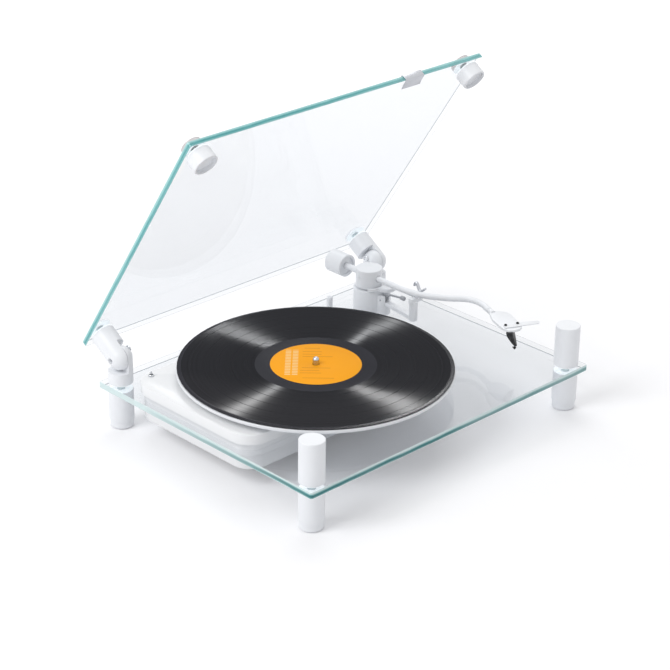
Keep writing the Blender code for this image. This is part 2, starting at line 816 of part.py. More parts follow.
def power_switch(root, toggle, chrome, dark):
    x = deck_left + switch_from_left
    y = deck_back - switch_from_back
    low = glass_on + gap
    high = low + switch_body_height
    top = deck_top + switch_collar_rise
    profile = [(switch_collar_bore, high + gap), (switch_collar_bore, high - switch_throat),
               (switch_collar_radius, high - switch_throat), (switch_collar_radius, top - edge_break / 2),
               (switch_collar_radius - edge_break / 2, top), (switch_collar_bore, top)]
    switch = piece("power_switch", turned(profile, small_sides, (x, y)), chrome, root)
    join(switch, block(x - switch_body_width / 2, x + switch_body_width / 2, y - switch_body_depth / 2,
                       y + switch_body_depth / 2 - switch_wall_room, low, high))
    ball = switch_ball_radius
    turn = [math.pi * i / dome_steps for i in range(dome_steps)]
    lower = [(ball * math.sin(t), -ball * math.cos(t)) for t in turn[:-1]]
    tip_z = switch_lever_length
    tip = switch_tip_radius
    upper = [(tip * math.sin(t), tip_z - tip * math.cos(t)) for t in turn[2:]]
    profile = lower + [(switch_lever_radius, ball)] + upper + [(0.0, tip_z + tip)]
    piece("switch_lever", turned(profile, small_sides), dark, toggle)


def electronics(root, tub, green):
    x1 = deck_right - board_from_right
    y1 = deck_back - board_from_back
    x0 = x1 - board_width
    y0 = y1 - board_depth
    low = tub_floor
    posts = bmesh.new()
    for x in (x0 + board_edge, x1 - board_edge):
        for y in (y0 + board_edge, y1 - board_edge):
            rod(board_standoff_radius, low - shell_wall / 2, low + board_standoff_height, tiny_sides,
                (x, y), into=posts)
    join(tub, posts)
    board_low = low + board_standoff_height + gap
    board_high = board_low + board_thickness
    board = piece("circuit_board", block(x0, x1, y0, y1, board_low, board_high), green, root)
    on_board = board_high - board_thickness / 2
    middle_x = (x0 + x1) / 2
    middle_y = (y0 + y1) / 2
    parts = block(middle_x - chip_size / 2, middle_x + chip_size / 2, middle_y - chip_size / 2,
                  middle_y + chip_size / 2, on_board, on_board + chip_height)
    for i in range(3):
        rod(capacitor_radius, on_board, on_board + capacitor_height, tiny_sides,
            (x0 + board_edge + capacitor_radius * 3 * i, y0 + board_edge * 2), into=parts)
    block(x1 - board_edge - plug_block_width, x1 - board_edge, y1 - board_edge - plug_block_depth,
          y1 - board_edge,
          on_board, on_board + plug_block_height, into=parts)
    join(board, parts)


def sockets(root, tub, metal, dark, brass):
    """Signal sockets, earth terminal and power inlet in the rear wall of the tub."""
    wall_out = deck_back - tub_inset
    wall_in = deck_back - tub_inset - tub_bottom_edge
    height = tub_floor + socket_height
    right = deck_right - socket_from_right
    places = [right - socket_pitch * i for i in range(4)]
    holes = bmesh.new()

    def through(radius, x):
        hole = rod(radius + gap, 0.0, wall_out - wall_in + 2 * overrun)
        both(holes, laid(hole, "Y", (x, wall_in - overrun, height)))

    tail = wall_in - socket_tail
    for name, x in zip(("signal_socket_right", "signal_socket_left"), places):
        face = wall_out + gap
        profile = [(0.0, tail), (socket_radius, tail), (socket_radius, face), (socket_flange_radius, face),
                   (socket_flange_radius, face + socket_flange_thickness),
                   (socket_radius, face + socket_flange_thickness),
                   (socket_radius, wall_out + socket_reach),
                   (socket_bore, wall_out + socket_reach), (socket_bore, wall_out), (0.0, wall_out)]
        piece(name, laid(turned(profile, small_sides), "Y", (x, 0.0, height)), metal, root)
        through(socket_radius, x)

    x = places[2]
    face = wall_out + gap
    nut = face + terminal_nut_length
    profile = [(0.0, tail), (terminal_radius, tail), (terminal_radius, face), (terminal_nut_radius, face),
               (terminal_nut_radius, nut), (terminal_radius, nut), (terminal_radius, nut + terminal_radius),
               (0.0, nut + terminal_radius)]
    piece("earth_terminal", laid(turned(profile, small_sides), "Y", (x, 0.0, height)), brass, root)
    through(terminal_radius, x)

    x = places[3]
    mouth = wall_out + socket_flange_thickness
    floor = mouth - inlet_depth
    profile = [(0.0, tail), (inlet_radius, tail), (inlet_radius, mouth), (inlet_bore, mouth),
               (inlet_bore, floor),
               (inlet_pin_radius, floor), (inlet_pin_radius, mouth - inlet_pin_radius),
               (0.0, mouth - inlet_pin_radius)]
    piece("power_inlet", laid(turned(profile, small_sides), "Y", (x, 0.0, height)), dark, root)
    through(inlet_radius, x)
    cut(tub, holes)


def arm_pedestal(arm, paint, metal):
    """A column under the pivot, a lift block in front of it and a bracket out to the arm rest."""
    base = glass_on
    pedestal = piece("arm_pedestal", rod(column_base_radius, base, column_top, round_sides,
                                         edge=edge_break),
                     paint, arm)
    join(pedestal, rod(lift_block_radius, base, lift_block_top, round_sides, (lift_block_x, lift_block_y),
                       edge_break))
    half = bracket_width / 2
    back_y = lift_block_y - lift_block_radius / 2
    bar = [(lift_block_x - half, back_y), (rest_x - half, rest_y), (rest_x + half, rest_y),
           (lift_block_x + half, back_y)]
    join(pedestal, stack([along_z(bar, bracket_bottom), along_z(bar, bracket_bottom + bracket_thickness)]))
    join(pedestal, rod(rest_post_radius, bracket_bottom - edge_break, rest_post_top, small_sides,
                       (rest_x, rest_y), edge_break))
    bores = rod(arm_nut_stud + gap, base - overrun, base + stud_reach)
    rod(lift_stem_radius + gap, lift_block_top - lift_stem_reach - platform_travel_room,
        lift_block_top + overrun,
        centre=(lift_block_x + lift_stem_x, lift_block_y + lift_stem_y), into=bores)
    cut(pedestal, bores)
    slot = lever_boss_width / 2 + gap
    lever_x = lift_block_x + lever_offset_x
    pivot_y = lift_block_y - lever_pivot_back
    cut(pedestal, block(lever_x - slot, lever_x + slot, lift_block_y - lift_block_radius - overrun,
                        pivot_y + lever_boss_radius + gap, lever_pivot_height - lever_boss_radius - gap,
                        lift_block_top + overrun))
    join(pedestal, rod(arm_axle_radius, column_top - overrun, arm_axle_top, small_sides))
    pin_half = lift_block_radius
    cut(pedestal, laid(rod(lever_pin_radius + gap, 0.0, 2 * pin_half, tiny_sides), "X",
                       (lever_x - pin_half, pivot_y, lever_pivot_height)))

    nut_top = base_glass_bottom - gap
    nut_low = nut_top - nut_thickness
    profile = [(0.0, nut_low), (nut_radius, nut_low), (nut_radius, nut_top), (arm_nut_stud, nut_top),
               (arm_nut_stud, base + stud_reach - gap), (0.0, base + stud_reach - gap)]
    piece("pedestal_bolt", turned(profile, small_sides), metal, arm)
    top = base + earth_post_height
    profile = [(0.0, base), (earth_post_radius, base), (earth_post_radius, top - edge_break),
               (earth_post_radius - edge_break, top), (0.0, top)]
    piece("arm_lead_post", turned(profile, small_sides, (earth_post_x, earth_post_y)), paint, arm)
    return pedestal


def arm_rest(arm, pedestal, metal):
    """A cradle under the tube on top of the rest post, and a leaf clip beside it."""
    floor_low = rest_post_top - edge_break * 2
    seat = arm_height - tube_radius - cradle_clear
    half = cradle_width / 2
    side_in = tube_radius + cradle_clear
    leaf_x = rest_x + clip_from_rest
    ledge = floor_low + cradle_floor
    outline = [(rest_x - side_in - cradle_jaw, floor_low), (leaf_x + clip_leaf, floor_low),
               (leaf_x + clip_leaf, ledge), (rest_x + side_in, ledge), (rest_x + side_in, seat),
               (rest_x - side_in - cradle_jaw, seat)]
    join(pedestal, stack([along_y(outline, rest_y - half), along_y(outline, rest_y + half)]))
    low = ledge + gap
    dip = low + clip_dip
    line = clip_line
    rear = rest_y + clip_rear_reach
    front = rest_y - clip_front_reach
    profile = [(rest_y - line, low), (rest_y + line, low), (rest_y + line, dip - line),
               (rear, dip + clip_rear_rise - line), (rear, dip + clip_rear_rise + line),
               (rest_y, dip + line),
               (front, dip + clip_front_rise + line), (front, dip + clip_front_rise - line),
               (rest_y - line, dip - line)]
    piece("rest_clip", stack([along_x(profile, leaf_x), along_x(profile, leaf_x + clip_leaf)]), metal, arm)


def arm_bearing(swing, pitch, paint):
    """A cup turns on the axle; the housing rocks on two pins that stand in the cup's sides."""
    inside = housing_radius - housing_wall
    cup_radius = inside - cup_clearance
    cup_low = column_top + gap * 2
    cup_high = arm_axle_top + gap + cup_rise
    bore = arm_axle_radius + gap
    profile = [(bore, cup_low), (cup_radius, cup_low), (cup_radius, cup_high), (0.0, cup_high),
               (0.0, arm_axle_top + gap), (bore, arm_axle_top + gap)]
    cup = piece("bearing_cup", turned(profile, round_sides), paint, swing)
    ear_high = arm_height + bearing_pin_radius * 2
    ear_half = bearing_pin_radius * 2
    ears = bmesh.new()
    for side in (-1, 1):
        ends = sorted((side * cup_radius * ear_out_share, side * cup_radius * ear_in_share))
        block(*ends, -ear_half, ear_half, cup_high - overrun / 2, ear_high, into=ears)
    join(cup, ears)
    pins = bmesh.new()
    for side in (-1, 1):
        ends = sorted((side * (housing_radius - gap), side * cup_radius * ear_middle_share))
        both(pins, laid(rod(bearing_pin_radius, 0.0, ends[1] - ends[0], tiny_sides), "X",
                        (ends[0], 0.0, arm_height)))
    join(cup, pins)

    low = housing_bottom - arm_height
    high = housing_top - arm_height
    roof = high - housing_roof
    profile = [(inside, low), (housing_radius - edge_break, low), (housing_radius, low + edge_break),
               (housing_radius, high - edge_break), (housing_radius - edge_break, high), (0.0, high),
               (0.0, roof), (inside, roof)]
    housing = piece("arm_housing", turned(profile, round_sides), paint, pitch)
    cut(housing, laid(rod(bearing_pin_radius + gap, 0.0, 2 * (housing_radius + overrun), tiny_sides), "X",
                      (-housing_radius - overrun, 0.0, 0.0)))
    cut(housing, laid(rod(tube_radius + gap, 0.0, housing_wall + 2 * overrun), "Y",
                      (0.0, -housing_radius - overrun, 0.0)))
    cut(housing, laid(rod(rod_radius + gap, 0.0, housing_wall + 2 * overrun), "Y",
                      (0.0, inside - overrun, 0.0)))


def smooth_route(points, steps):
    """Points of a smooth line through all the given ones."""
    route = []
    ends = [points[0]] + list(points) + [points[-1]]
    for i in range(1, len(ends) - 2):
        a, b, c, d = (Vector(p) for p in ends[i - 1:i + 3])
        for k in range(steps):
            t = k / steps
            route.append(((b * 2) + (c - a) * t + (a * 2 - b * 5 + c * 4 - d) * t ** 2
                          + (b * 3 - a - c * 3 + d) * t ** 3) / 2)
    return route + [Vector(points[-1])]


def swept(route, radius, sides):
    """Loops round a level route, each square to the route there."""
    loops = []
    for i, point in enumerate(route):
        ahead = route[min(i + 1, len(route) - 1)] - route[max(i - 1, 0)]
        ahead.normalize()
        across = Vector((-ahead.y, ahead.x, 0.0))
        up = Vector((0.0, 0.0, 1.0))
        turns = [math.tau * k / sides for k in range(sides)]
        loops.append([point + (across * math.cos(t) + up * math.sin(t)) * radius for t in turns])
    return loops


def arm_tube(pitch, weight_slide, paint):
    route = smooth_route([(x * tube_reach, y * tube_reach, 0.0) for x, y in tube_plan_shares], tube_steps)
    piece("arm_tube", stack(swept(route, tube_radius, tube_sides)), paint, pitch)
    piece("counterweight_rod", laid(rod(rod_radius, 0.0, rod_length, small_sides, edge=edge_break), "Y",
                                    (0.0, tube_root, 0.0)), paint, pitch)
    bore = rod_radius + gap
    face = weight_face_step
    profile = [(bore, face), (weight_radius - weight_face_inset, face),
               (weight_radius - weight_face_inset, 0.0),
               (weight_radius - edge_break, 0.0), (weight_radius, edge_break),
               (weight_radius, weight_length - edge_break), (weight_radius - edge_break, weight_length),
               (bore, weight_length)]
    piece("counterweight", laid(turned(profile, round_sides), "Y", (0.0, 0.0, 0.0)), paint, weight_slide)


def spun(points, yaw, start):
    """Turns plan points about the origin by a yaw from the -Y direction and moves them to the start."""
    turn = math.radians(yaw)
    ahead = Vector((-math.sin(turn), -math.cos(turn)))
    right = Vector((math.cos(turn), -math.sin(turn)))
    return [(start[0] + ahead.x * a + right.x * b, start[1] + ahead.y * a + right.y * b) for a, b in points]


def headshell(pitch, paint, dark, metal):
    """The plate, its two screws, the finger lift, the cartridge and the stylus."""
    top = head_top - arm_height
    low = top - head_thickness
    start = (head_start_x, head_start_y)
    outline = spun([(a * head_length, b * head_length) for a, b in head_outline_shares], head_yaw, start)
    head = piece("headshell", stack([along_z(outline, low), along_z(outline, top)]), paint, pitch)
    tube_end = Vector((tube_plan_shares[-1][0] * tube_reach, tube_plan_shares[-1][1] * tube_reach, 0.0))
    before = Vector((tube_plan_shares[-2][0] * tube_reach, tube_plan_shares[-2][1] * tube_reach, 0.0))
    ahead = (tube_end - before).normalized()
    neck = [tube_end + ahead * gap, tube_end + ahead * (gap + neck_length)]
    join(head, stack(swept(neck, tube_radius, tube_sides)))

    middle = (head_screw_x, head_screw_y)
    half = head_screw_pitch / 2
    places = spun([(0.0, -half), (0.0, half)], finger_yaw, middle)
    strip_low = top + gap
    strip_high = strip_low + finger_thickness
    strip = spun([(a * finger_length, b * finger_length) for a, b in finger_outline_shares], finger_yaw,
                 middle)
    lift = piece("finger_lift", stack([along_z(strip, strip_low), along_z(strip, strip_high)]), paint,
                 pitch)
    bore = head_screw_radius + gap
    strip_holes = bmesh.new()
    head_holes = bmesh.new()
    for name, (x, y) in zip(("headshell_screw_left", "headshell_screw_right"), places):
        shaft_low = low + gap
        head_low = strip_high + gap
        screw = turned([(0.0, shaft_low), (head_screw_radius, shaft_low), (head_screw_radius, head_low),
                        (head_screw_head, head_low),
                        (head_screw_head, head_low + head_screw_head_height / 2),
                        (head_screw_head - edge_break, head_low + head_screw_head_height),
                        (0.0, head_low + head_screw_head_height)], tiny_sides, (x, y))
        piece(name, screw, metal, pitch)
        rod(bore, strip_low - overrun / 4, strip_high + overrun, tiny_sides, (x, y), into=strip_holes)
        rod(bore, low - overrun, top + overrun, tiny_sides, (x, y), into=head_holes)
    cut(lift, strip_holes)
    cut(head, head_holes)

    def level(x, y, width, length, height):
        """A rectangle across the cartridge, at its place and height."""
        corners = [(-length / 2, -width / 2), (-length / 2, width / 2), (length / 2, width / 2),
                   (length / 2, -width / 2)]
        return along_z(spun(corners, cartridge_yaw, (x, y)), height)

    body_top = low - gap
    foot_x = tip_x + tip_from_body_x
    foot_y = tip_y + tip_from_body_y
    loops = [level(cartridge_x + (foot_x - cartridge_x) * lean, cartridge_y + (foot_y - cartridge_y) * lean,
                   cartridge_width * size, cartridge_length * size, body_top - cartridge_height * drop)
             for drop, lean, size in cartridge_form_shares]
    piece("cartridge", stack(loops), dark, pitch)
    body_low = body_top - cartridge_height
    tip_z = record_top + tip_clear - arm_height
    loops = [level(foot_x - tip_from_body_x * stylus_lean_share,
                   foot_y - tip_from_body_y * stylus_lean_share,
                   stylus_width, stylus_width, body_low - gap),
             level(tip_x, tip_y, stylus_point, stylus_point, tip_z)]
    piece("stylus", stack(loops), dark, pitch)


def cue_lift(platform, lever, paint, dark):
    """A platform with an arc under the tube, and the lever that lifts it."""
    top = platform_top
    low = top - platform_thickness
    made = piece("lift_platform", rod(platform_radius, low, top, round_sides, (platform_x, platform_y),
                                      edge_break),
                 paint, platform)
    cut(made, rod(platform_arc_inner, low - overrun, top + overrun, round_sides))
    arc_low = top - platform_arc_thickness
    steps = small_sides
    turn = [math.radians(platform_arc_start + (platform_arc_end - platform_arc_start) * i / steps)
            for i in range(steps + 1)]
    grow = overrun / 4
    arc = [((platform_arc_inner + gap) * math.cos(t),
            (platform_arc_inner + gap) * math.sin(t)) for t in turn]
    arc += [(platform_arc_outer * math.cos(t), platform_arc_outer * math.sin(t)) for t in reversed(turn)]
    join(made, stack([along_z(arc, arc_low), along_z(arc, top - edge_break / 4)]))
    stem = (lift_block_x + lift_stem_x, lift_block_y + lift_stem_y)
    join(made, rod(lift_stem_radius, lift_block_top - lift_stem_reach, low + grow, small_sides, stem))

    boss = laid(rod(lever_boss_radius, 0.0, lever_boss_width, small_sides), "X",
                (-lever_boss_width / 2, 0.0, 0.0))
    handle = piece("cue_lever", boss, dark, lever)
    start = Vector((0.0, -lever_boss_radius / 2, 0.0))
    end = Vector((0.0, -lever_length, lever_rise))
    bend = Vector((0.0, -lever_length / 3, lever_rise * lever_bend_share))
    loops = [[point + Vector((math.cos(math.tau * k / tiny_sides), 0.0,
                              math.sin(math.tau * k / tiny_sides)))
              * lever_rod_radius for k in range(tiny_sides)] for point in (start, bend, end)]
    join(handle, stack(loops))
    pin_reach = lever_boss_width / 2 + lever_pin_seat
    join(handle, laid(rod(lever_pin_radius, 0.0, 2 * pin_reach, tiny_sides), "X", (-pin_reach, 0.0, 0.0)))
    knob_start = -lever_length - lever_knob_length / 2
    knob = laid(rod(lever_knob_radius, 0.0, lever_knob_length, small_sides, edge=edge_break), "Y",
                (0.0, knob_start, lever_rise))
    join(handle, knob)


def build():
    clear_scene()
    white = finish("white_satin_paint", (0.82, 0.84, 0.87), 0.38)
    glass = finish("clear_glass", (0.75, 0.92, 0.92), 0.04, alpha=0.35)
    rubber = finish("grey_rubber", (0.25, 0.25, 0.26), 0.8)
    steel = finish("steel", (0.62, 0.63, 0.65), 0.25, 1.0)
    chrome = finish("chrome", (0.8, 0.8, 0.82), 0.1, 1.0)
    brass = finish("brass", (0.75, 0.55, 0.25), 0.3, 1.0)
    dark = finish("black_plastic", (0.02, 0.02, 0.022), 0.4)
    vinyl = finish("black_vinyl", (0.012, 0.012, 0.012), 0.22)
    green = finish("circuit_board_green", (0.03, 0.2, 0.08), 0.5)
    grey = finish("grey_clip_metal", (0.4, 0.41, 0.43), 0.4, 0.6)

    root = joint_frame("turntable_frame", (0.0, glass_centre_y, 0.0))
    hinge = joint_frame("lid_hinge_axis", (0.0, post_y, pivot_height), root, -open_turn)
    spin = joint_frame("platter_axis", (platter_x, platter_y, 0.0), root)
    motor_spin = joint_frame("motor_axis", (motor_x, platter_y, 0.0), root)
    toggle = joint_frame("switch_axis", (deck_left + switch_from_left, deck_back - switch_from_back,
                                         deck_top + switch_collar_rise - switch_ball_radius * 2), root)
    arm = joint_frame("arm_frame", (arm_x, arm_y, 0.0), root)
    swing = joint_frame("arm_swing_axis", (0.0, 0.0, 0.0), arm)
    pitch = joint_frame("arm_pitch_axis", (0.0, 0.0, arm_height), swing)
    weight = joint_frame("counterweight_axis", (0.0, weight_start, 0.0), pitch)
    platform = joint_frame("lift_platform_axis", (0.0, 0.0, 0.0), arm)
    lever = joint_frame("cue_lever_axis", (lift_block_x + lever_offset_x, lift_block_y - lever_pivot_back,
                                           lever_pivot_height), arm)

    base_plate(root, glass)
    legs(root, white)
    front_posts(root, white)
    hinge_posts(root, white, chrome)
    lid(hinge, glass, white, grey)
    tub = body_shells(root, white, steel)
    platter_group(root, spin, white, vinyl, steel, brass)
    drive(root, motor_spin, dark, brass, rubber)
    power_switch(root, toggle, chrome, dark)
    electronics(root, tub, green)
    sockets(root, tub, chrome, dark, brass)
    pedestal = arm_pedestal(arm, white, steel)
    arm_rest(arm, pedestal, grey)
    arm_bearing(swing, pitch, white)
    arm_tube(pitch, weight, white)
    headshell(pitch, white, dark, steel)
    cue_lift(platform, lever, white, dark)


build()
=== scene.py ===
import json
import math

import bpy
from mathutils import Matrix, Vector

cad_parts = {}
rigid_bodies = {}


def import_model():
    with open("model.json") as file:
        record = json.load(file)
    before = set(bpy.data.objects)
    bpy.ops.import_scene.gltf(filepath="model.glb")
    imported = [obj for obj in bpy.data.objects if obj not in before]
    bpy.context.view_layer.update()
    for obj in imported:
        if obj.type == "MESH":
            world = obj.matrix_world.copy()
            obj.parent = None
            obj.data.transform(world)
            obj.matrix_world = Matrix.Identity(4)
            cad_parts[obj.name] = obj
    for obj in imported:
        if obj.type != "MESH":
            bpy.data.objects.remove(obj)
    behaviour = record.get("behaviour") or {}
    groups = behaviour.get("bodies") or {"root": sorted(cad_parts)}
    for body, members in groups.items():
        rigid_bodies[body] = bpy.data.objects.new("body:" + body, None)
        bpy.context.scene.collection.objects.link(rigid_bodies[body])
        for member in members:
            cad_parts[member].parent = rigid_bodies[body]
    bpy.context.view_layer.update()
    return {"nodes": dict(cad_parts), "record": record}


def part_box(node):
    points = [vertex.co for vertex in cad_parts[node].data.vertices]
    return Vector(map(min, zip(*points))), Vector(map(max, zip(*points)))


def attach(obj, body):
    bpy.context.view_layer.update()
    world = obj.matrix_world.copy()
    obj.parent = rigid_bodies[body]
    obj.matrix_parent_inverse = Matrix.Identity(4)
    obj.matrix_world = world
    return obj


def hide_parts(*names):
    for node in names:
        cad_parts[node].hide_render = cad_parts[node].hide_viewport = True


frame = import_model()
nodes = frame["nodes"]
bodyOf = {name: body for body, names in frame["record"]["behaviour"]["bodies"].items() for name in names}
print("frame loaded:", len(nodes), "solids")

# camera, fitted to the plates' corners, the record and the posts
shot = {"place": (-1.4673, -1.4836583, 1.0849), "azimuth": -44.59, "elevation": 25.40, "roll": 0.853,
        "lens": 113.01}


def makeCamera():
    azimuth, elevation, roll = (math.radians(shot[key]) for key in ("azimuth", "elevation", "roll"))
    back = Vector((math.sin(azimuth) * math.cos(elevation), -math.cos(azimuth) * math.cos(elevation),
                   math.sin(elevation)))
    right = Vector((math.cos(azimuth), math.sin(azimuth), 0.0))
    up = back.cross(right)
    right, up = right * math.cos(roll) + up * math.sin(roll), up * math.cos(roll) - right * math.sin(roll)
    data = bpy.data.cameras.new("camera")
    data.lens = shot["lens"]
    data.sensor_width = 36.0
    camera = bpy.data.objects.new("camera", data)
    bpy.context.scene.collection.objects.link(camera)
    turn = Matrix((right, up, back)).transposed().to_4x4()
    camera.matrix_world = Matrix.Translation(shot["place"]) @ turn
    bpy.context.scene.camera = camera


makeCamera()
print("camera made")


# small tools

def linear(code):
    parts = [int(code[i:i + 2], 16) / 255.0 for i in (1, 3, 5)]
    return tuple(c / 12.92 if c <= 0.04045 else ((c + 0.055) / 1.055) ** 2.4 for c in parts) + (1.0,)


def addNode(tree, kind, settings=None, links=None):
    # kind is the node's type without ShaderNode; a setting is a property of it or the value of an input
    node = tree.nodes.new("ShaderNode" + kind)
    for key, value in (settings or {}).items():
        if isinstance(key, str) and hasattr(node, key):
            setattr(node, key, value)
        else:
            node.inputs[key].default_value = value
    for key, socket in (links or {}).items():
        tree.links.new(socket, node.inputs[key])
    return node


def newMaterial(name):
    material = bpy.data.materials.new(name)
    material.use_nodes = True
    tree = material.node_tree
    tree.nodes.clear()
    output = addNode(tree, "OutputMaterial")
    return material, tree, output


def paintNodes(names, material):
    for name in names:
        mesh = nodes[name].data
        mesh.materials.clear()
        mesh.materials.append(material)


def clearSelection():
    if bpy.context.object and bpy.context.object.mode != "OBJECT":
        bpy.ops.object.mode_set(mode="OBJECT")
    bpy.ops.object.select_all(action="DESELECT")


def takeUp(piece):
    clearSelection()
    piece.select_set(True)
    bpy.context.view_layer.objects.active = piece


def pickFaces(piece, test):
    bpy.ops.object.mode_set(mode="OBJECT")
    for part in (piece.data.vertices, piece.data.edges, piece.data.polygons):
        part.foreach_set("select", [False] * len(part))
    for face in piece.data.polygons:
        face.select = bool(test(face.center, face.normal))
    bpy.context.tool_settings.mesh_select_mode = (False, False, True)
    bpy.ops.object.mode_set(mode="EDIT")


def finishPiece(piece, name, body, material, smooth=35.0):
    takeUp(piece)
    bpy.ops.object.transform_apply(location=True, rotation=True, scale=True)
    for modifier in list(piece.modifiers):
        bpy.ops.object.modifier_apply(modifier=modifier.name)
    bpy.ops.object.shade_smooth_by_angle(angle=math.radians(smooth))
    piece.name = name
    piece.data.name = name
    if material:
        piece.data.materials.clear()
        piece.data.materials.append(material)
    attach(piece, body)
    return piece


def turnedFrom(node, name, material, bevel=0.0, smooth=35.0):
    # a finer copy of a solid: welded, edges eased, shaded smooth
    mesh = nodes[node].data.copy()
    piece = bpy.data.objects.new(name, mesh)
    bpy.context.scene.collection.objects.link(piece)
    takeUp(piece)
    bpy.ops.object.mode_set(mode="EDIT")
    bpy.ops.mesh.select_all(action="SELECT")
    bpy.ops.mesh.remove_doubles(threshold=0.000002)
    bpy.ops.mesh.dissolve_limited(angle_limit=math.radians(0.6), delimit={"NORMAL"})
    bpy.ops.object.mode_set(mode="OBJECT")
    if mesh.has_custom_normals:
        bpy.ops.mesh.customdata_custom_splitnormals_clear()
    if bevel:
        edge = piece.modifiers.new("easedEdge", "BEVEL")
        edge.width = bevel
        edge.segments = 2
        edge.limit_method = "ANGLE"
        edge.angle_limit = math.radians(38.0)
    finishPiece(piece, name, bodyOf[node], material, smooth)
    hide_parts(node)
    return piece


# materials

def makePaint(name, colour, low, high, grain, lift):
    # a coat of paint: a skin with a fine orange peel, over a faint cloud in its white
    material, tree, output = newMaterial(name)
    place = addNode(tree, "TexCoord")
    peel = addNode(tree, "TexNoise", {"Scale": 1.0 / grain, "Detail": 3.0, "Roughness": 0.55},
                   {"Vector": place.outputs["Object"]})
    cloud = addNode(tree, "TexNoise", {"Scale": 45.0, "Detail": 2.0}, {"Vector": place.outputs["Object"]})
    tone = addNode(tree, "Mix", {"data_type": "RGBA", 6: linear(colour[0]), 7: linear(colour[1])},
                   {0: cloud.outputs["Fac"]})
    shine = addNode(tree, "MapRange", {"To Min": low, "To Max": high}, {"Value": peel.outputs["Fac"]})
    bump = addNode(tree, "Bump", {"Strength": lift, "Distance": 0.00003}, {"Height": peel.outputs["Fac"]})
    shader = addNode(tree, "BsdfPrincipled", {"IOR": 1.5},
                     {"Base Color": tone.outputs[2], "Roughness": shine.outputs["Result"],
                      "Normal": bump.outputs["Normal"]})
    tree.links.new(shader.outputs[0], output.inputs["Surface"])
    return material


# satin powder coat on the posts, legs, hinges, arm and counterweight; peel about 0.6 mm across
satinPaint = makePaint("satinPowderCoat", ("#E9EBEF", "#EEF0F3"), 0.34, 0.44, 0.0006, 0.12)
# high gloss lacquer over moulded ABS on the body; a slow wave of about 2 mm shows in its reflections
glossLacquer = makePaint("glossLacqueredABS", ("#EAEBED", "#EEEFF0"), 0.12, 0.20, 0.002, 0.05)
# satin enamel on the platter's rim, a little darker than the posts: it reads as a line under the record
rimPaint = makePaint("satinPlatterEnamel", ("#DDDFE3", "#E3E5E8"), 0.25, 0.33, 0.001, 0.08)


def makeMetal(name, colour, low, high, stretch, scale):
    # drawn or turned metal: reflections broken by fine lines from the tool
    material, tree, output = newMaterial(name)
    place = addNode(tree, "TexCoord")
    drawn = addNode(tree, "Mapping", {"Scale": stretch}, {"Vector": place.outputs["Object"]})
    lines = addNode(tree, "TexNoise", {"Scale": scale, "Detail": 4.0}, {"Vector": drawn.outputs["Vector"]})
    shine = addNode(tree, "MapRange", {"To Min": low, "To Max": high}, {"Value": lines.outputs["Fac"]})
    tone = addNode(tree, "Mix", {"data_type": "RGBA", 6: linear(colour[0]), 7: linear(colour[1])},
                   {0: lines.outputs["Fac"]})
    shader = addNode(tree, "BsdfPrincipled", {"Metallic": 1.0},
                     {"Base Color": tone.outputs[2], "Roughness": shine.outputs["Result"]})
    tree.links.new(shader.outputs[0], output.inputs["Surface"])
    return material


# chrome plate: a bright mirror with hardly any lines
chromePlate = makeMetal("chromePlate", ("#CDD0D4", "#DADCE0"), 0.06, 0.14, (1.0, 1.0, 1.0), 900.0)
# turned stainless steel: rings 0.4 mm apart down its length
turnedSteel = makeMetal("turnedStainlessSteel", ("#B9BBBF", "#C9CBCF"), 0.18, 0.32, (0.2, 0.2, 3.0), 800.0)
# rolled spring steel strip under a light grey coat
stripSteel = makeMetal("rolledSpringStrip", ("#BFC1C6", "#C8CACF"), 0.32, 0.42, (0.2, 2.0, 2.0), 900.0)
# turned brass under lacquer: warm, with fine rings
turnedBrass = makeMetal("turnedBrass", ("#C79A4B", "#D7AC5E"), 0.20, 0.34, (0.2, 0.2, 3.0), 800.0)


def makePlastic(name, colour, low, high, grain, lift):
    # moulded plastic with a spark-eroded grain: a soft, broken sheen
    material, tree, output = newMaterial(name)
    place = addNode(tree, "TexCoord")
    cells = addNode(tree, "TexVoronoi", {"Scale": 1.0 / grain}, {"Vector": place.outputs["Object"]})
    cloud = addNode(tree, "TexNoise", {"Scale": 120.0, "Detail": 2.0}, {"Vector": place.outputs["Object"]})
    tone = addNode(tree, "Mix", {"data_type": "RGBA", 6: linear(colour[0]), 7: linear(colour[1])},
                   {0: cloud.outputs["Fac"]})
    shine = addNode(tree, "MapRange", {"To Min": low, "To Max": high}, {"Value": cells.outputs["Distance"]})
    bump = addNode(tree, "Bump", {"Strength": lift, "Distance": 0.00004},
                   {"Height": cells.outputs["Distance"]})
    shader = addNode(tree, "BsdfPrincipled", {"IOR": 1.5},
                     {"Base Color": tone.outputs[2], "Roughness": shine.outputs["Result"],
                      "Normal": bump.outputs["Normal"]})
    tree.links.new(shader.outputs[0], output.inputs["Surface"])
    return material


# black ABS of the cartridge, stylus, motor and power inlet: dark, with a soft sheen
blackMould = makePlastic("mouldedBlackABS", ("#111214", "#1A1B1E"), 0.28, 0.42, 0.0005, 0.15)
# light grey ABS of the cue lever, its grey painted shade for the tube's shadow on it
greyMouldPaintedShade = makePlastic("greyABSPaintedShade", ("#9C9EA3", "#A8AAAF"), 0.30, 0.42, 0.0005, 0.10)
# ground neoprene of the belt: dull and nearly black
groundRubber = makePlastic("groundNeoprene", ("#1C1C1D", "#262628"), 0.62, 0.80, 0.0004, 0.30)
# woven glass laminate under green solder mask
boardMask = makePlastic("solderMaskLaminate", ("#1F5A38", "#27683F"), 0.22, 0.36, 0.0008, 0.10)
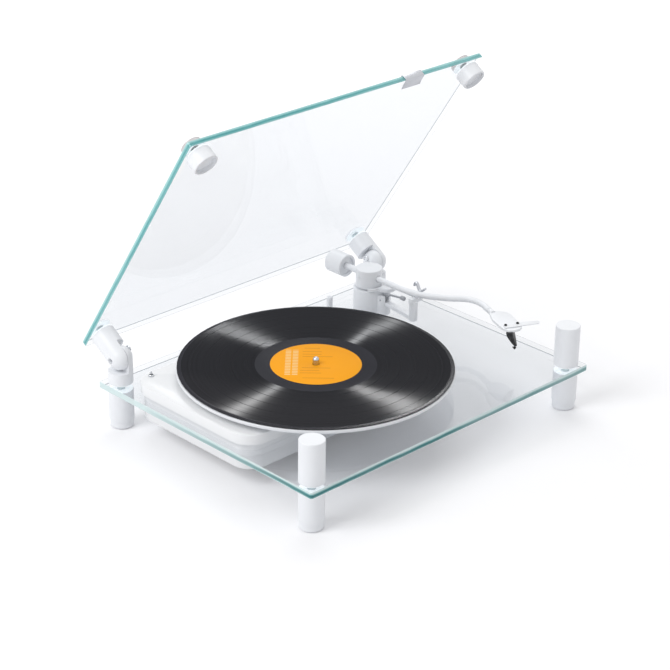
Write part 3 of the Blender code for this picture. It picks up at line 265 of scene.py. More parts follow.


# float glass: clear faces with a thin mirror, and a ground and polished rim that glows blue green, the glow
# painted into its colour
glassLook = {"rimZone": 0.0035, "faceFlat": 0.94, "cornerFlat": 0.3, "bore": "#EEF6F6", "farClear": "#FDFDFD",
             "through": 0.15, "patchFrom": 0.42, "patchTo": 0.68, "patchShare": 0.35,
             "bands": ((0.0, "pale"), (0.14, "mid"), (0.36, "dark"), (0.58, "mid"), (0.80, "pale"),
                       (1.0, "pale"))}


def makeGlass(name, plate):
    # across is the plate's own up, forward its own front; low and high are its lower and upper faces
    material, tree, output = newMaterial(name)
    place = addNode(tree, "TexCoord")
    tilt = addNode(tree, "VectorMath", {"operation": "DOT_PRODUCT", 1: plate["across"]},
                   {0: place.outputs["Normal"]})
    flat = addNode(tree, "Math", {"operation": "ABSOLUTE"}, {0: tilt.outputs["Value"]})
    isRim = addNode(tree, "Math", {"operation": "LESS_THAN", 1: glassLook["faceFlat"]},
                    {0: flat.outputs[0]})
    # bores and the cut-out stay clear: only the outline of the plate has the coloured rim
    parts = addNode(tree, "SeparateXYZ", {}, {"Vector": place.outputs["Object"]})
    sideways = addNode(tree, "Math", {"operation": "ABSOLUTE"}, {0: parts.outputs["X"]})
    atSide = addNode(tree, "Math", {"operation": "GREATER_THAN",
                                    1: plate["halfWidth"] - glassLook["rimZone"]},
                     {0: sideways.outputs[0]})
    depth = addNode(tree, "VectorMath", {"operation": "DOT_PRODUCT", 1: plate["forward"]},
                    {0: place.outputs["Object"]})
    centre, half = (plate["front"] + plate["rear"]) / 2, abs(plate["front"] - plate["rear"]) / 2
    inside = addNode(tree, "Math", {"operation": "COMPARE", 1: centre, 2: half - glassLook["rimZone"]},
                     {0: depth.outputs["Value"]})
    atEnd = addNode(tree, "Math", {"operation": "SUBTRACT", 0: 1.0}, {1: inside.outputs[0]})
    outline = addNode(tree, "Math", {"operation": "MAXIMUM"}, {0: atSide.outputs[0], 1: atEnd.outputs[0]})
    bore = addNode(tree, "BsdfTransparent", {"Color": linear(glassLook["bore"])})
    facing = addNode(tree, "LayerWeight", {"Blend": 0.5})
    steep = addNode(tree, "Math", {"operation": "POWER", 1: 5.0}, {0: facing.outputs["Facing"]})
    mirror = addNode(tree, "Math", {"operation": "MULTIPLY_ADD", 1: 0.96 * plate["mirror"],
                                    2: 0.04 * plate["mirror"]}, {0: steep.outputs[0]})
    clear = addNode(tree, "BsdfTransparent", {"Color": linear(plate["face"])})
    gloss = addNode(tree, "BsdfGlossy", {"Color": (1.0, 1.0, 1.0, 1.0), "Roughness": 0.0})
    face = addNode(tree, "MixShader", {}, {0: mirror.outputs[0], 1: clear.outputs[0], 2: gloss.outputs[0]})
    # painted light: the rim's colour shows bands across its thickness and long streaks along it, for light
    # trapped in the plate
    height = addNode(tree, "VectorMath", {"operation": "DOT_PRODUCT", 1: plate["across"]},
                     {0: place.outputs["Object"]})
    share = addNode(tree, "MapRange", {"From Min": plate["low"], "From Max": plate["high"]},
                    {"Value": height.outputs["Value"]})
    paintedLightStreaks = addNode(tree, "TexNoise", {"Scale": 14.0, "Detail": 3.0, "Roughness": 0.6},
                      {"Vector": place.outputs["Object"]})
    wander = addNode(tree, "Math", {"operation": "MULTIPLY_ADD", 1: plate["span"], 2: -plate["span"] / 2},
                     {0: paintedLightStreaks.outputs["Fac"]})
    level = addNode(tree, "Math", {"operation": "ADD"}, {0: share.outputs["Result"], 1: wander.outputs[0]})
    ramp = addNode(tree, "ValToRGB", {}, {"Fac": level.outputs[0]})
    points = [(spot, linear(plate[shade])) for spot, shade in glassLook["bands"]]
    band = ramp.color_ramp
    band.elements[0].color = points[0][1]
    band.elements[1].color = points[-1][1]
    for spot, colour in points[1:-1]:
        band.elements.new(spot).color = colour
    # painted light: slower changes along the rim, and a paler side where the plate hands the key light
    # straight through
    slow = addNode(tree, "TexNoise", {"Scale": 7.0, "Detail": 2.0}, {"Vector": place.outputs["Object"]})
    paintedLightPatches = addNode(tree, "MapRange",
                      {"From Min": glassLook["patchFrom"], "From Max": glassLook["patchTo"],
                       "To Min": 0.0, "To Max": glassLook["patchShare"]},
                      {"Value": slow.outputs["Fac"]})
    atLeft = addNode(tree, "Math", {"operation": "LESS_THAN",
                                    1: glassLook["rimZone"] - plate["halfWidth"]},
                     {0: parts.outputs["X"]})
    fade = addNode(tree, "MapRange", {"From Min": plate["front"], "From Max": plate["rear"],
                                      "To Min": 0.0, "To Max": plate["fade"]},
                   {"Value": depth.outputs["Value"]})
    paintedKeyLightSide = addNode(tree, "Math", {"operation": "MULTIPLY"}, {0: atLeft.outputs[0], 1: fade.outputs[0]})
    paintedLightShare = addNode(tree, "Math", {"operation": "ADD", "use_clamp": True},
                        {0: paintedLightPatches.outputs[0], 1: paintedKeyLightSide.outputs[0]})
    rimTone = addNode(tree, "Mix", {"data_type": "RGBA", 7: linear(plate["pale"])},
                      {0: paintedLightShare.outputs[0], 6: ramp.outputs["Color"]})
    rim = addNode(tree, "BsdfPrincipled", {"Roughness": 0.12, "IOR": 1.5},
                  {"Base Color": rimTone.outputs[2]})
    through = addNode(tree, "BsdfTransparent", {"Color": linear(plate["mid"])})
    near = addNode(tree, "MixShader", {0: glassLook["through"]}, {1: rim.outputs[0], 2: through.outputs[0]})
    # from inside the plate its far rims hardly show: they pass the light on, but for a hairline at corners
    sides = addNode(tree, "NewGeometry")
    corner = addNode(tree, "Math", {"operation": "GREATER_THAN", 1: glassLook["cornerFlat"]},
                     {0: flat.outputs[0]})
    farShade = addNode(tree, "Mix", {"data_type": "RGBA", 6: linear(glassLook["farClear"]),
                                     7: linear(plate["far"])}, {0: corner.outputs[0]})
    faint = addNode(tree, "BsdfTransparent", {}, {"Color": farShade.outputs[2]})
    outer = addNode(tree, "MixShader", {}, {0: sides.outputs["Backfacing"], 1: near.outputs[0],
                                            2: faint.outputs[0]})
    edge = addNode(tree, "MixShader", {}, {0: outline.outputs[0], 1: bore.outputs[0], 2: outer.outputs[0]})
    whole = addNode(tree, "MixShader", {}, {0: isRim.outputs[0], 1: face.outputs[0], 2: edge.outputs[0]})
    tree.links.new(whole.outputs[0], output.inputs["Surface"])
    return material


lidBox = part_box("lid_glass")
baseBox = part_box("base_glass")
lidTilt = math.radians(57.05)  # the lid's opened angle
lidAcross = (0.0, math.sin(lidTilt), math.cos(lidTilt))
lidForward = (0.0, -math.cos(lidTilt), math.sin(lidTilt))
lidEnds = [Vector(lidForward).dot(v.co) for v in nodes["lid_glass"].data.vertices]
lidPlaces = [Vector(lidAcross).dot(v.co) for v in nodes["lid_glass"].data.vertices]
# the rim colours below are painted light; the last entry sets how pale the painted key light makes the left
# rim
basePlate = {"across": (0.0, 0.0, 1.0), "low": baseBox[0].z, "high": baseBox[1].z,
             "forward": (0.0, 1.0, 0.0), "front": baseBox[0].y, "rear": baseBox[1].y,
             "halfWidth": baseBox[1].x,
             "mirror": 1.0, "face": "#F6F7F8", "far": "#A6AEB2", "dark": "#155B5E", "mid": "#539C9C",
             "pale": "#DFEDED", "span": 0.6, "fade": 1.02}
lidPlate = {"across": lidAcross, "low": min(lidPlaces), "high": max(lidPlaces),
            "forward": lidForward, "front": max(lidEnds), "rear": min(lidEnds), "halfWidth": lidBox[1].x,
            "mirror": 0.4, "face": "#F5F6F7", "far": "#B7BEC1", "dark": "#3A8C8F", "mid": "#6CB4B5",
            "pale": "#B0DBDA", "span": 0.5, "fade": 0.0}
paintNodes(["base_glass"], makeGlass("baseFloatGlass", basePlate))
paintNodes(["lid_glass"], makeGlass("lidFloatGlass", lidPlate))
print("materials made")


# the record: pressed vinyl, its grooves too fine to show singly, so their sheen is drawn out across them
recordLook = {"dead": 0.0665, "outer": 0.1462, "track": 0.0152,
              "gap": 0.0006, "gapHalf": 0.0004, "gapShine": -0.16,
              "body": ("#020202", "#060607"), "plain": "#030304", "walls": ("#080808", "#131313"),
              "rough": (0.34, 0.42), "drawn": 0.72}


def makeVinyl():
    material, tree, output = newMaterial("pressedVinyl")
    middle = (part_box("record")[0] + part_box("record")[1]) / 2
    place = addNode(tree, "TexCoord")
    centred = addNode(tree, "Mapping", {"Location": (-middle.x, -middle.y, 0.0), "Scale": (1.0, 1.0, 0.0)},
                      {"Vector": place.outputs["Object"]})
    radius = addNode(tree, "VectorMath", {"operation": "LENGTH"}, {0: centred.outputs["Vector"]})
    reach = radius.outputs["Value"]
    # bands of louder and softer grooves, and the wider gaps between tracks
    bandPlace = addNode(tree, "CombineXYZ", {}, {"X": reach})
    loud = addNode(tree, "TexNoise", {"Scale": 420.0, "Detail": 5.0, "Roughness": 0.7},
                   {"Vector": bandPlace.outputs["Vector"]})
    centre = (recordLook["dead"] + recordLook["outer"]) / 2
    half = (recordLook["outer"] - recordLook["dead"]) / 2
    grooved = addNode(tree, "Math", {"operation": "COMPARE", 1: centre, 2: half}, {0: reach})
    shade = addNode(tree, "Mix", {"data_type": "RGBA", 6: linear(recordLook["body"][0]),
                                  7: linear(recordLook["body"][1])}, {0: loud.outputs["Fac"]})
    plain = addNode(tree, "Mix", {"data_type": "RGBA", 6: linear(recordLook["plain"])},
                    {0: grooved.outputs[0], 7: shade.outputs[2]})
    gap = addNode(tree, "Math", {"operation": "WRAP", 1: recordLook["track"], 2: 0.0}, {0: reach})
    between = addNode(tree, "Math", {"operation": "COMPARE", 1: recordLook["gap"],
                                     2: recordLook["gapHalf"]}, {0: gap.outputs[0]})
    track = addNode(tree, "Math", {"operation": "MULTIPLY"}, {0: between.outputs[0], 1: grooved.outputs[0]})
    rough = addNode(tree, "MapRange", {"To Min": recordLook["rough"][0], "To Max": recordLook["rough"][1]},
                    {"Value": loud.outputs["Fac"]})
    shine = addNode(tree, "Math", {"operation": "MULTIPLY_ADD", 1: recordLook["gapShine"]},
                    {0: track.outputs[0], 2: rough.outputs["Result"]})
    along = addNode(tree, "Tangent", {"direction_type": "RADIAL", "axis": "Z"})
    pale = addNode(tree, "Mix", {"data_type": "RGBA", 6: linear(recordLook["walls"][0]),
                                 7: linear(recordLook["walls"][1])}, {0: loud.outputs["Fac"]})
    # the groove walls mirror the lamps in a line across the grooves: dark vinyl with fans of light
    walls = addNode(tree, "BsdfAnisotropic", {"Anisotropy": recordLook["drawn"]},
                    {"Color": pale.outputs[2], "Roughness": shine.outputs[0],
                     "Tangent": along.outputs["Tangent"]})
    soot = addNode(tree, "BsdfPrincipled", {"IOR": 1.5, "Specular IOR Level": 0.0, "Roughness": 0.6},
                   {"Base Color": plain.outputs[2]})
    groovedShader = addNode(tree, "AddShader", {}, {0: soot.outputs[0], 1: walls.outputs[0]})
    smoothShader = addNode(tree, "BsdfPrincipled",
                           {"IOR": 1.5, "Specular IOR Level": 0.02, "Roughness": 0.42},
                           {"Base Color": plain.outputs[2]})
    both = addNode(tree, "MixShader", {}, {0: grooved.outputs[0], 1: smoothShader.outputs[0],
                                           2: groovedShader.outputs[0]})
    tree.links.new(both.outputs[0], output.inputs["Surface"])
    return material


turnedFrom("record", "recordDisc", makeVinyl(), 0.0, 30.0)

# the label: uncoated paper printed orange, with plain bars where print would be
labelLook = {"radius": 0.0499, "hole": 0.0040, "thick": 0.00016, "sunk": 0.0002, "edge": 0.00005,
             "turn": -44.6,
             "orange": ("#F39C00", "#F9AA0C"), "ink": "#B4700C", "inkShare": 0.55, "barHalf": 0.0006}
# a ladder of pale bars in the same frame, with a seam down its middle
ladderLook = {"colour": "#F6DDA6", "share": 0.75, "along": -0.0265, "halfWide": 0.0070, "seamHalf": 0.0009,
              "up": 0.003, "halfTall": 0.031, "step": 0.0019, "rung": 0.00095}
# rows of bars in the label's own frame: up, from, to (m)
labelRows = ((0.0385, -0.013, 0.004), (0.0300, -0.015, 0.006), (0.0235, -0.015, 0.006),
             (0.0180, -0.015, 0.018), (-0.0100, -0.015, 0.016), (-0.0165, -0.017, 0.004),
             (-0.0225, -0.017, 0.006), (-0.0345, -0.014, 0.020))


def makeLabelPaper():
    material, tree, output = newMaterial("printedLabelPaper")
    middle = (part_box("record")[0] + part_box("record")[1]) / 2
    place = addNode(tree, "TexCoord")
    centred = addNode(tree, "Mapping", {"Location": (-middle.x, -middle.y, 0.0)},
                      {"Vector": place.outputs["Object"]})
    turned = addNode(tree, "Mapping", {"Rotation": (0.0, 0.0, math.radians(-labelLook["turn"]))},
                     {"Vector": centred.outputs["Vector"]})
    split = addNode(tree, "SeparateXYZ", {}, {"Vector": turned.outputs["Vector"]})
    along, upward = split.outputs["X"], split.outputs["Y"]
    # fibres of about 0.5 mm in the paper
    fibre = addNode(tree, "TexNoise", {"Scale": 1800.0, "Detail": 3.0}, {"Vector": place.outputs["Object"]})
    paper = addNode(tree, "Mix", {"data_type": "RGBA", 6: linear(labelLook["orange"][0]),
                                  7: linear(labelLook["orange"][1])}, {0: fibre.outputs["Fac"]})
    ink = None
    for height, start, end in labelRows:
        row = addNode(tree, "Math", {"operation": "COMPARE", 1: height, 2: labelLook["barHalf"]},
                      {0: upward})
        run = addNode(tree, "Math", {"operation": "COMPARE", 1: (start + end) / 2, 2: (end - start) / 2},
                      {0: along})
        bar = addNode(tree, "Math", {"operation": "MULTIPLY"}, {0: row.outputs[0], 1: run.outputs[0]})
        if ink:
            bar = addNode(tree, "Math", {"operation": "MAXIMUM"}, {0: ink.outputs[0], 1: bar.outputs[0]})
        ink = bar
    faint = addNode(tree, "Math", {"operation": "MULTIPLY", 1: labelLook["inkShare"]}, {0: ink.outputs[0]})
    printed = addNode(tree, "Mix", {"data_type": "RGBA", 7: linear(labelLook["ink"])},
                      {0: faint.outputs[0], 6: paper.outputs[2]})
    rungs = addNode(tree, "Math", {"operation": "PINGPONG", 1: ladderLook["step"]}, {0: upward})
    rung = addNode(tree, "Math", {"operation": "LESS_THAN", 1: ladderLook["rung"]}, {0: rungs.outputs[0]})
    tall = addNode(tree, "Math", {"operation": "COMPARE", 1: ladderLook["up"], 2: ladderLook["halfTall"]},
                   {0: upward})
    wide = addNode(tree, "Math",
                   {"operation": "COMPARE", 1: ladderLook["along"], 2: ladderLook["halfWide"]},
                   {0: along})
    seam = addNode(tree, "Math",
                   {"operation": "COMPARE", 1: ladderLook["along"], 2: ladderLook["seamHalf"]},
                   {0: along})
    inside = addNode(tree, "Math", {"operation": "MULTIPLY"}, {0: tall.outputs[0], 1: wide.outputs[0]})
    ladder = addNode(tree, "Math", {"operation": "MULTIPLY"}, {0: rung.outputs[0], 1: inside.outputs[0]})
    halves = addNode(tree, "Math", {"operation": "SUBTRACT", "use_clamp": True},
                     {0: ladder.outputs[0], 1: seam.outputs[0]})
    soft = addNode(tree, "Math", {"operation": "MULTIPLY", 1: ladderLook["share"]}, {0: halves.outputs[0]})
    marked = addNode(tree, "Mix", {"data_type": "RGBA", 7: linear(ladderLook["colour"])},
                     {0: soft.outputs[0], 6: printed.outputs[2]})
    bump = addNode(tree, "Bump", {"Strength": 0.2, "Distance": 0.00004}, {"Height": fibre.outputs["Fac"]})
    shine = addNode(tree, "MapRange", {"To Min": 0.50, "To Max": 0.68}, {"Value": fibre.outputs["Fac"]})
    shader = addNode(tree, "BsdfPrincipled", {"IOR": 1.45, "Specular IOR Level": 0.2},
                     {"Base Color": marked.outputs[2], "Roughness": shine.outputs["Result"],
                      "Normal": bump.outputs["Normal"]})
    tree.links.new(shader.outputs[0], output.inputs["Surface"])
    return material


def makeLabel():
    low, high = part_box("record")
    middle = (low + high) / 2
    clearSelection()
    bpy.ops.mesh.primitive_circle_add(vertices=96, radius=labelLook["radius"], fill_type="NGON",
                                      location=(middle.x, middle.y, high.z - labelLook["sunk"]))
    piece = bpy.context.object
    bpy.ops.object.mode_set(mode="EDIT")
    bpy.ops.mesh.select_all(action="SELECT")
    bpy.ops.mesh.inset(thickness=labelLook["radius"] - labelLook["hole"])
    bpy.ops.mesh.delete(type="FACE")
    bpy.ops.mesh.select_all(action="SELECT")
    bpy.ops.mesh.extrude_region_move(TRANSFORM_OT_translate={"value": (0.0, 0.0, labelLook["thick"])})
    bpy.ops.mesh.select_all(action="SELECT")
    bpy.ops.mesh.normals_make_consistent(inside=False)
    bpy.ops.object.mode_set(mode="OBJECT")
    eased = piece.modifiers.new("pressedEdge", "BEVEL")
    eased.width = labelLook["edge"]
    eased.segments = 2
    finishPiece(piece, "recordLabel", "platter", makeLabelPaper(), 30.0)


makeLabel()
print("record and label made")


# the painted and turned pieces take a finer copy of their solid
satinPieces = ("arm_housing", "arm_lead_post", "arm_pedestal", "arm_tube", "bearing_cup", "bumper_left",
               "bumper_right", "counterweight", "counterweight_rod", "finger_lift", "headshell",
               "hinge_clamp_left", "hinge_clamp_right", "hinge_post_left", "hinge_post_right",
               "leg_front_left", "leg_front_right", "leg_rear_left", "leg_rear_right", "lid_cap_front_left",
               "lid_cap_front_right", "lid_cap_rear_left", "lid_cap_rear_right", "lift_platform",
               "post_front_left", "post_front_right", "hinge_bolt_left", "hinge_bolt_right")
easing = {"headshell": 0.0009, "finger_lift": 0.00035, "arm_pedestal": 0.0003, "arm_housing": 0.0003}
smoothing = {"arm_tube": 62.0}  # the S bends are coarse, so wider angles are smoothed on the tube


def camelName(node, ending):
    words = node.split("_")
    return words[0] + "".join(word.capitalize() for word in words[1:]) + ending


for node in satinPieces:
    turnedFrom(node, camelName(node, "Painted"), satinPaint, easing.get(node, 0.0),
               smoothing.get(node, 35.0))

# the front caps: pale grey, and standing a little proud of the lid's outer face
capLook = {"colours": ("#C4C1C2", "#CFCCCD"), "proud": 0.003, "facing": 0.3}
frontCapGrey = makePlastic("paleGreyFrontCaps", capLook["colours"], 0.32, 0.44, 0.0005, 0.10)
for side in ("Left", "Right"):
    cap = bpy.data.objects["lidCapFront" + side + "Painted"]
    cap.data.materials.clear()
    cap.data.materials.append(frontCapGrey)
    takeUp(cap)
    pickFaces(cap, lambda centre, normal: Vector(lidAcross).dot(normal) > capLook["facing"])
    bpy.ops.transform.translate(value=[capLook["proud"] * part for part in lidAcross])
    bpy.ops.object.mode_set(mode="OBJECT")

# the lacquered, turned and plated pieces, and the solids that only take a material
for node in ("deck_shell", "tub", "sub_platter"):
    turnedFrom(node, camelName(node, "Lacquered"), glossLacquer, 0.0, 32.0)
turnedFrom("platter", "platterRim", rimPaint, 0.0, 30.0)
turnedFrom("spindle", "spindleTurned", turnedSteel, 0.0, 40.0)
turnedFrom("power_switch", "powerSwitchCollar", chromePlate, 0.0, 35.0)
turnedFrom("switch_lever", "switchLeverSteel", turnedSteel, 0.0, 45.0)
# the cue lever's grey is painted shade, for the tube's shadow that falls on it
turnedFrom("cue_lever", "cueLeverGrey", greyMouldPaintedShade, 0.0, 45.0)
for node in ("signal_socket_left", "signal_socket_right"):
    turnedFrom(node, camelName(node, "Plated"), chromePlate, 0.0, 35.0)
for node in ("earth_terminal", "bearing_bush", "motor_pulley"):
    turnedFrom(node, camelName(node, "Turned"), turnedBrass, 0.0, 35.0)
paintNodes(["power_inlet", "motor", "stylus"], blackMould)
paintNodes(["pedestal_bolt", "tub_screw_front_left", "tub_screw_front_right", "tub_screw_rear_left",
            "tub_screw_rear_right"], turnedSteel)
paintNodes(["drive_belt"], groundRubber)
paintNodes(["circuit_board"], boardMask)

# the deck's wall goes on through the plate: a white band between the deck and the tub, open above and below
deckWall = {"corner": 0.0225, "segments": 8, "thick": 0.0012, "reach": 0.0002}


def makeDeckWall():
    clearSelection()
    low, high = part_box("tub")
    bottom, top = baseBox[0].z - deckWall["reach"], baseBox[1].z + deckWall["reach"]
    centre = ((low.x + high.x) / 2, (low.y + high.y) / 2, (bottom + top) / 2)
    bpy.ops.mesh.primitive_cube_add(size=1.0, location=centre,
                                    scale=(high.x - low.x, high.y - low.y, top - bottom))
    piece = bpy.context.object
    bpy.ops.object.transform_apply(location=True, rotation=True, scale=True)
    pickFaces(piece, lambda centre, normal: abs(normal.z) > 0.9)
    bpy.ops.mesh.delete(type="FACE")
    bpy.ops.object.mode_set(mode="OBJECT")
    for edge in piece.data.edges:  # the four upright ones
        first, second = (piece.data.vertices[i].co.z for i in edge.vertices)
        edge.select = abs(first - second) > (top - bottom) / 2
    bpy.context.tool_settings.mesh_select_mode = (False, True, False)
    bpy.ops.object.mode_set(mode="EDIT")
    bpy.ops.mesh.bevel(offset=deckWall["corner"], segments=deckWall["segments"], affect="EDGES")
    bpy.ops.object.mode_set(mode="OBJECT")
    wall = piece.modifiers.new("wall", "SOLIDIFY")
    wall.thickness = deckWall["thick"]
    wall.offset = -1.0
    finishPiece(piece, "deckWallLacquered", bodyOf["tub"], glossLacquer)


makeDeckWall()
print("solids finished")


# strips of sheet: a line drawn point by point, pulled out to its width and thickened
def bentStrip(points, along, width, thick):
    clearSelection()
    bpy.ops.mesh.primitive_plane_add(size=0.001, location=(0.0, 0.0, 0.0))
    piece = bpy.context.object
    bpy.ops.object.mode_set(mode="EDIT")
    bpy.ops.mesh.select_mode(type="VERT")
    bpy.ops.mesh.select_all(action="SELECT")
    bpy.ops.mesh.merge(type="CENTER")
    bpy.ops.transform.translate(value=points[0])
    for before, after in zip(points, points[1:]):
        step = tuple(b - a for a, b in zip(before, after))
        bpy.ops.mesh.extrude_region_move(TRANSFORM_OT_translate={"value": step})
    bpy.ops.mesh.select_all(action="SELECT")
    bpy.ops.mesh.extrude_region_move(TRANSFORM_OT_translate={"value": tuple(width * a for a in along)})
    bpy.ops.mesh.select_all(action="SELECT")
    bpy.ops.mesh.normals_make_consistent(inside=False)
    bpy.ops.object.mode_set(mode="OBJECT")
    wall = piece.modifiers.new("sheet", "SOLIDIFY")
    wall.thickness = thick
    wall.offset = 0.0
    eased = piece.modifiers.new("rolledEdge", "BEVEL")
    eased.width = thick * 0.25
    eased.segments = 2
    eased.angle_limit = math.radians(50.0)
    return piece


# the rest's grip: a strip that curls over at the back, dips under the tube and rises at the front
restLook = {"thick": 0.0022, "path": ((0.0235, 0.1015), (0.0236, 0.1040), (0.0228, 0.1060), (0.0212, 0.1062),
                                      (0.0197, 0.1048), (0.0183, 0.1020), (0.0168, 0.0992), (0.0150, 0.0978),
                                      (0.0130, 0.0980), (0.0112, 0.0992), (0.0090, 0.1012), (0.0072, 0.1032)),
            "wider": 0.0013, "stalkTop": 0.0975, "stalkPlace": 0.0146, "stalkShare": 0.62,
            "stalkEdge": 0.0002}


def makeRestClip():
    low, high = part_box("rest_clip")
    width = high.x - low.x
    path = [(low.x - restLook["wider"], y, z) for y, z in restLook["path"]]
    piece = bentStrip(path, (1.0, 0.0, 0.0), width + 2 * restLook["wider"], restLook["thick"])
    finishPiece(piece, "restGrip", "base", stripSteel, 45.0)
    # the stalk that holds the grip
    clearSelection()
    foot, top = low.z, restLook["stalkTop"]
    centre = (low.x + width / 2, restLook["stalkPlace"], (top + foot) / 2)
    bpy.ops.mesh.primitive_cylinder_add(vertices=20, radius=width * restLook["stalkShare"], depth=top - foot,
                                        location=centre)
    stalk = bpy.context.object
    pickFaces(stalk, lambda centre, normal: abs(normal.z) > 0.9)
    bpy.ops.mesh.bevel(offset=restLook["stalkEdge"], segments=2, affect="EDGES")
    bpy.ops.object.mode_set(mode="OBJECT")
    finishPiece(stalk, "restStalk", "base", stripSteel, 40.0)
    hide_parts("rest_clip")


makeRestClip()


# clear washers that fill the thin gaps between the fittings and both plates; their glow is painted light, for
# the light the plates carry into the gaps
washerLook = {"radius": 0.0131, "hole": 0.0046, "gap": 0.0003, "fill": 0.9, "glow": 0.50}


def makeWasherMaterial():
    material, tree, output = newMaterial("siliconeWasherPaintedGlow")
    place = addNode(tree, "TexCoord")
    cloud = addNode(tree, "TexNoise", {"Scale": 260.0, "Detail": 2.0}, {"Vector": place.outputs["Object"]})
    tone = addNode(tree, "Mix", {"data_type": "RGBA", 6: linear("#E6EAEC"), 7: linear("#F2F5F6")},
                   {0: cloud.outputs["Fac"]})
    # painted light: the emission makes the washers glow though they are no lamp
    shader = addNode(tree, "BsdfPrincipled", {"Roughness": 0.35, "IOR": 1.41,
                                              "Emission Strength": washerLook["glow"]},
                     {"Base Color": tone.outputs[2], "Emission Color": tone.outputs[2]})
    tree.links.new(shader.outputs[0], output.inputs["Surface"])
    return material


def makeWashers():
    material = makeWasherMaterial()
    gap = washerLook["gap"]
    clearSelection()
    bpy.ops.mesh.primitive_cylinder_add(vertices=48, radius=washerLook["radius"],
                                        depth=gap * washerLook["fill"], location=(0.0, 0.0, 0.0))
    first = bpy.context.object
    pickFaces(first, lambda centre, normal: abs(normal.z) > 0.9)
    bpy.ops.mesh.inset(thickness=washerLook["radius"] - washerLook["hole"], use_individual=True)
    bpy.ops.mesh.bridge_edge_loops()
    bpy.ops.object.mode_set(mode="OBJECT")
    places = []
    for word in ("Left", "Right"):
        for end, node in (("Front", "post_front_"), ("Rear", "hinge_post_")):
            low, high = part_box(node + word.lower())
            x, y = (low.x + high.x) / 2, (low.y + high.y) / 2
            for level, name in ((baseBox[1].z + gap / 2, "Over"), (baseBox[0].z - gap / 2, "Under")):
                places.append(("washer" + end + word + name, "base", Matrix.Translation((x, y, level))))
        for end, node in (("Front", "lid_cap_front_"), ("Rear", "lid_cap_rear_")):
            low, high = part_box(node + word.lower())
            middle = (low + high) / 2
            flat = middle - Vector(lidAcross) * Vector(lidAcross).dot(middle)
            for level, name in ((max(lidPlaces) + gap / 2, "Out"), (min(lidPlaces) - gap / 2, "In")):
                turn = Matrix.Rotation(-lidTilt, 4, "X")
                places.append(("washerLid" + end + word + name, "lid",
                               Matrix.Translation(flat + Vector(lidAcross) * level) @ turn))
    for name, body, where in places:
        piece = bpy.data.objects.new(name, first.data.copy())
        bpy.context.scene.collection.objects.link(piece)
        piece.data.transform(where)
        finishPiece(piece, name, body, material, 30.0)
    bpy.data.objects.remove(first)


makeWashers()


# black socket screws that hold the cartridge through the shell
screwLook = {"radius": 0.0016, "rise": 0.0012, "round": 0.00035, "socket": 0.0007, "deep": 0.0006}


def makeHeadScrews():
    blackOxide = makeMetal("blackOxideSteel", ("#18191B", "#232427"), 0.30, 0.45, (1.0, 1.0, 1.0), 900.0)
    first = None
    for node in ("headshell_screw_left", "headshell_screw_right"):
        low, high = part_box(node)
        middle = (low + high) / 2
        base = high.z - screwLook["rise"]
        if first is None:
            clearSelection()
            bpy.ops.mesh.primitive_cylinder_add(vertices=32, radius=screwLook["radius"],
                                                depth=screwLook["rise"],
                                                location=(0.0, 0.0, screwLook["rise"] / 2))
            piece = bpy.context.object
            bpy.ops.object.transform_apply(location=True)
            pickFaces(piece, lambda centre, normal: normal.z > 0.9)
            bpy.ops.mesh.bevel(offset=screwLook["round"], segments=3, affect="EDGES")
            pickFaces(piece, lambda centre, normal: normal.z > 0.99)
            bpy.ops.mesh.inset(thickness=screwLook["radius"] - screwLook["round"] - screwLook["socket"])
            down = (0.0, 0.0, -screwLook["deep"])
            bpy.ops.mesh.extrude_region_move(TRANSFORM_OT_translate={"value": down})
            bpy.ops.object.mode_set(mode="OBJECT")
            first = piece
        else:
            piece = bpy.data.objects.new("screw", first.data.copy())
            bpy.context.scene.collection.objects.link(piece)
            piece.data.transform(Matrix.Translation((-placed.x, -placed.y, -placed.z)))
        placed = Vector((middle.x, middle.y, base))
        piece.location = placed
        finishPiece(piece, camelName(node, "Black"), "arm", blackOxide, 40.0)
        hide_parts(node)


makeHeadScrews()


# hinge bolts' bright nuts on the inner faces of the ears
ringLook = {"radius": 0.0038, "y": 0.13924, "z": 0.0877, "wall": 0.0011, "depth": 0.0020, "out": 0.0005,
            "sunk": 0.0007, "round": 0.0003}
plugLook = {"clear": 0.0003, "depth": 0.0016, "sunk": 0.0004, "round": 0.0004}


def makeEarRings():
    for side, word in ((-1, "Left"), (1, "Right")):
        low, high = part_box("hinge_post_" + word.lower())
        inner = (high.x if side < 0 else low.x) + ringLook["out"] * side
        clearSelection()
        bpy.ops.mesh.primitive_cylinder_add(vertices=40, radius=ringLook["radius"], depth=ringLook["depth"],
                                            location=(inner, ringLook["y"], ringLook["z"]),
                                            rotation=(0.0, math.radians(90.0), 0.0))
        piece = bpy.context.object
        bpy.ops.object.transform_apply(location=True, rotation=True)
        pickFaces(piece, lambda centre, normal: normal.x * side < -0.9)
        bpy.ops.mesh.inset(thickness=ringLook["wall"])
        outward = (ringLook["sunk"] * side, 0.0, 0.0)
        bpy.ops.mesh.extrude_region_move(TRANSFORM_OT_translate={"value": outward})
        bpy.ops.object.mode_set(mode="OBJECT")
        eased = piece.modifiers.new("roundedRim", "BEVEL")
        eased.width = ringLook["round"]
        eased.segments = 3
        eased.angle_limit = math.radians(40.0)
        finishPiece(piece, "earRing" + word, "base", chromePlate, 40.0)
        # white plug in its middle
        clearSelection()
        radius = ringLook["radius"] - ringLook["wall"] - plugLook["clear"]
        centre = (inner + plugLook["sunk"] * side, ringLook["y"], ringLook["z"])
        bpy.ops.mesh.primitive_cylinder_add(vertices=32, depth=plugLook["depth"], radius=radius,
                                            location=centre, rotation=(0.0, math.radians(90.0), 0.0))
        plug = bpy.context.object
        bpy.ops.object.transform_apply(location=True, rotation=True)
        pickFaces(plug, lambda centre, normal: abs(normal.x) > 0.9)
        bpy.ops.mesh.bevel(offset=plugLook["round"], segments=3, affect="EDGES")
        bpy.ops.object.mode_set(mode="OBJECT")
        finishPiece(plug, "earPlug" + word, "base", satinPaint, 40.0)


makeEarRings()


